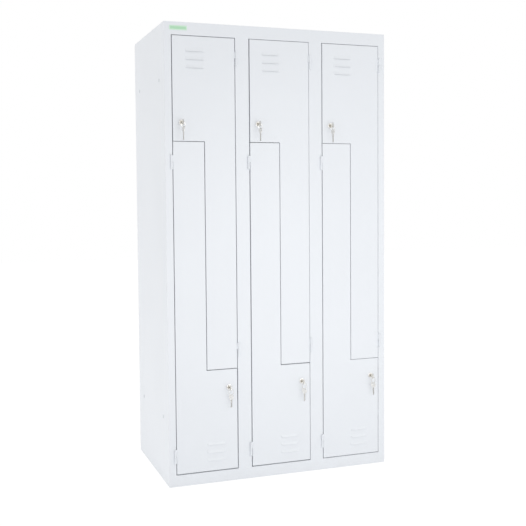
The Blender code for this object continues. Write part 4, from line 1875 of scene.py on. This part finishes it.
@dataclass
class KeySet(RowAssembly):
    """The key in each lock, the split ring on it and the spare key that hangs from the ring."""

    length: float = 0.052
    thickness: float = 0.002
    bow_radius: float = 0.011
    bow_sides: int = 72
    hole_radius: float = 0.00275
    hole_rim: float = 0.0026
    hole_sides: int = 40
    half_height: float = 0.0036
    tip: float = 0.003
    tip_share: float = 0.6  # of the half height, past which the blade's end slopes
    bit_start: float = 0.004
    bit_span: float = 0.019
    bit_shares: tuple[float, ...] = (0.30, 0.62, 0.20, 0.50, 0.36)  # of the half height
    bit_foot: float = 1 / 3  # width of a notch's foot, as a share of their pitch
    rim_width: float = 0.0011
    rim_depth: float = 0.00028
    groove_sides: tuple[float, float] = (-0.0018, 0.0004)
    groove_depth: float = 0.00045
    groove_end: float = 0.0042  # from the blade's end
    edge: float = 0.00018
    wire: float = 0.0008
    wire_sides: int = 12
    wire_stretch: float = 2  # how much wider than thick each turn is
    wire_pitch: float = 0.000824
    ring_turns: int = 2
    ring_steps: int = 56
    hang: float = 0.00165  # from a key's hole down to the ring's top

    def key(self) -> bpy.types.Object:
        """Cut key round the middle of its ring hole, its blade down and its flat sides along X.

        Returns:
            The finished piece.
        """
        half, bow_radius, half_height = self.thickness / 2, self.bow_radius, self.half_height
        hole_from_end = self.hole_radius + self.hole_rim
        bow, tip = UP * (hole_from_end - bow_radius), hole_from_end - self.length
        neck = bow.z - bow_radius

        def at_blade(middle: Vector, normal: Vector) -> bool:
            """Whether a face of the bow's rim is one that the blade grows from."""
            return abs(middle.y) < half_height and normal.z < -ALONG

        def at_tip(place: Vector, normal: Vector) -> bool:
            """Whether a point is an outer corner of the blade's end."""
            return near(place.z, tip) and abs(place.y) > half_height * self.tip_share

        def on_bow(middle: Vector, normal: Vector) -> bool:
            """Whether a face is a flat side of the bow."""
            return abs(normal.x) > ALONG and middle.z > bow.z - bow_radius / 2

        made = Bench.rod(bow_radius, Axis.X, -half, half, bow, self.bow_sides)
        made.pick(Part.FACE, at_blade).extrude((0, 0, -bow_radius)).resize((1, 1, 0), UP * tip)
        made.pick(Part.POINT, at_tip).move((0, 0, self.tip))
        self.cut_bits(made, tip)
        made.pick(Part.FACE, on_bow).inset(self.rim_width, -self.rim_depth)
        cuts = [Bench.rod(self.hole_radius, Axis.X, -OVERRUN, OVERRUN, Vector(), self.hole_sides)]
        depth, (front, back) = self.groove_depth, self.groove_sides
        for side in (-half, half):
            low = (side - depth, front, tip + self.groove_end)
            cuts.append(Bench.block(low, (side + depth, back, neck)))
        return made.boolean(Change.CUT, cuts).ease(self.edge).done()

    def cut_bits(self, made: Bench, tip: float) -> None:
        """Cut the notches of the bitting into the blade's edge.

        Args:
            made: the key in hand.
            tip: the height of the blade's end.
        """
        pitch = self.bit_span / len(self.bit_shares)
        foot = pitch * self.bit_foot
        for index, share in enumerate(self.bit_shares):
            middle = tip + self.bit_start + pitch * (index + 0.5)
            depth = self.half_height * share
            notch = Bench.block(
                (-self.thickness, self.half_height - depth, middle - foot / 2),
                (self.thickness, self.half_height + OVERRUN, middle + foot / 2),
            )
            notch.pick(Part.FACE, lambda place, normal: normal.y > ALONG)
            notch.resize((1, 1, 1 + 2 * (depth + OVERRUN) / foot), UP * middle)
            made.boolean(Change.CUT, [notch])

    def ring(self, diameter: float) -> bpy.types.Object:
        """Split ring of two turns of wire, hanging from the origin in the plane square to Y.

        Args:
            diameter: across the middle of the wire.

        Returns:
            The finished piece.
        """
        start = RIGHT * diameter / 2 - BACK * self.wire_pitch
        made = Bench.loop(self.wire / 2, start, Axis.Z, self.wire_sides)
        made.pick_all().resize((self.wire_stretch, 1, 1), RIGHT * diameter / 2)
        made.modify(
            "SCREW", axis="Y", angle=2 * math.pi, iterations=self.ring_turns,
            screw_offset=self.wire_pitch, steps=self.ring_steps, render_steps=self.ring_steps,
            use_merge_vertices=False,
        )
        made.pick_all()
        bpy.ops.mesh.fill_holes(sides=0)
        made.outwards().move((0, 0, -diameter / 2))
        return made.done(weighted=False)

    def build(self) -> None:
        """Make the pieces of one lock and copy them to each column."""
        plan, row, looks = self.layout, self.row.value, self.finishes
        top = plan.joint_place(f"{row}_1_ring_swing")
        bottom = plan.joint_place(f"{row}_1_spare_swing")
        swing = Vector(plan.joints[f"{row}_1_ring_swing"]["axis"])
        turn = Matrix.Rotation(math.atan2(-swing.y, -swing.x), 4, "Z")
        into_lock = Matrix.Rotation(math.pi / 2, 4, "X")
        drop = UP * self.hang
        key, ring = self.key(), self.ring(top.z - bottom.z)
        for end, pattern, place, finish in (
            ("key", key, Matrix.Translation(top + drop) @ into_lock, looks.steel),
            ("key_ring", ring, Matrix.Translation(top) @ turn, looks.wire),
            ("spare_key", key, Matrix.Translation(bottom - drop) @ turn, looks.steel),
        ):
            for number, piece in self.in_columns(copy_of(pattern, place)):
                node = f"{row}_{number}_{end}"
                settle(piece, f"{node}_cut", finish, node, [node])
        for pattern in (key, ring):
            bpy.data.objects.remove(pattern)


@dataclass
class Studio:
    """Camera at the photograph's viewing angle, white floor, sky and soft lamps."""

    layout: Layout
    sensor: float = 36
    image_side: float = 526
    focal_pixels: float = 889.8
    shift_pixels: tuple[float, float] = (-20, -20)
    eye: Place = (-0.7404, -3.2444, 1.0956)  # from the left end of the face frame's foot
    yaw: float = math.radians(20.325)
    pitch: float = math.radians(-3.024)
    roll: float = math.radians(-0.374)
    floor_half: float = 12
    floor_cuts: int = 3
    sky_level: float = 0.77
    lamp_size: float = 1.6
    key_place: Place = (0.4, -2.4, 0.78)
    key_power: float = 15
    side_place: Place = (-2.9, 0.1, 0.4)
    side_power: float = 19

    def camera(self) -> None:
        """Set the camera."""
        level = Vector((math.cos(self.yaw), -math.sin(self.yaw), 0))
        over_ground = Vector((math.sin(self.yaw), math.cos(self.yaw), 0))
        ahead = over_ground * math.cos(self.pitch) + UP * math.sin(self.pitch)
        above = level.cross(ahead)
        right = level * math.cos(self.roll) + above * math.sin(self.roll)
        up = above * math.cos(self.roll) - level * math.sin(self.roll)
        data = bpy.data.cameras.new("studio_camera")
        data.sensor_width = self.sensor
        data.lens = self.focal_pixels * self.sensor / self.image_side
        data.shift_x, data.shift_y = (pixels / self.image_side for pixels in self.shift_pixels)
        data.dof.use_dof = False
        made = bpy.data.objects.new("studio_camera", data)
        bpy.context.scene.collection.objects.link(made)
        corner = Vector((-self.layout.half_width, self.layout.face, 0))
        turn = Matrix((right, up, -ahead)).transposed().to_4x4()
        made.matrix_world = Matrix.Translation(corner + Vector(self.eye)) @ turn
        bpy.context.scene.camera = made

    def floor(self) -> None:
        """Lay the floor."""
        half = self.floor_half
        made = Bench.sheet((-half, -half, -SEAM), (half, half, -SEAM), UP)
        piece = made.pick_all().subdivide(self.floor_cuts).done(weighted=False)
        piece.name = piece.data.name = "studio_floor"
        piece.data.materials.append(StudioFloor().material())

    def sky(self) -> None:
        """Light the room evenly from all round, and show plain white behind the object."""
        world = bpy.data.worlds.new("studio_sky")
        bpy.context.scene.world = world
        world.use_nodes = True
        graph = Graph(world.node_tree)
        strength = self.sky_level + graph.shows_background() * (1 - self.sky_level)
        sockets = {"Color": WHITE, "Strength": strength}
        sky = graph.node("ShaderNodeBackground", {}, sockets)
        graph.node("ShaderNodeOutputWorld", {}, {"Surface": sky.outputs[0]})

    def lamp(self, name: str, place: Place, aim: Vector, power: float) -> None:
        """Hang one soft square lamp.

        Args:
            name: what the lamp is called.
            place: where it hangs.
            aim: the direction that it looks along.
            power: its output in watts.
        """
        data = bpy.data.lights.new(name, "AREA")
        data.shape = "SQUARE"
        data.size = self.lamp_size
        data.energy = power
        made = bpy.data.objects.new(name, data)
        bpy.context.scene.collection.objects.link(made)
        turn = aim.to_track_quat("-Z", "Y").to_matrix().to_4x4()
        made.matrix_world = Matrix.Translation(place) @ turn

    def build(self) -> None:
        """Set everything up."""
        self.camera()
        self.floor()
        self.sky()
        self.lamp("key_lamp", self.key_place, BACK, self.key_power)
        self.lamp("side_lamp", self.side_place, RIGHT, self.side_power)
        bpy.context.scene.view_settings.view_transform = "Standard"


def main() -> None:
    """Build the studio and the locker's looks, one sub-assembly after the other."""
    logging.basicConfig(level=logging.INFO, format="%(name)s: %(message)s")
    layout = Layout.read()
    finishes = Finishes()
    Studio(layout).build()
    Carcass(layout, finishes).build()
    for row in Row:
        for sub_assembly in (Door, Hinge, CamLock, KeySet):
            sub_assembly(layout, finishes, row).build()


if __name__ == "__main__":
    main()
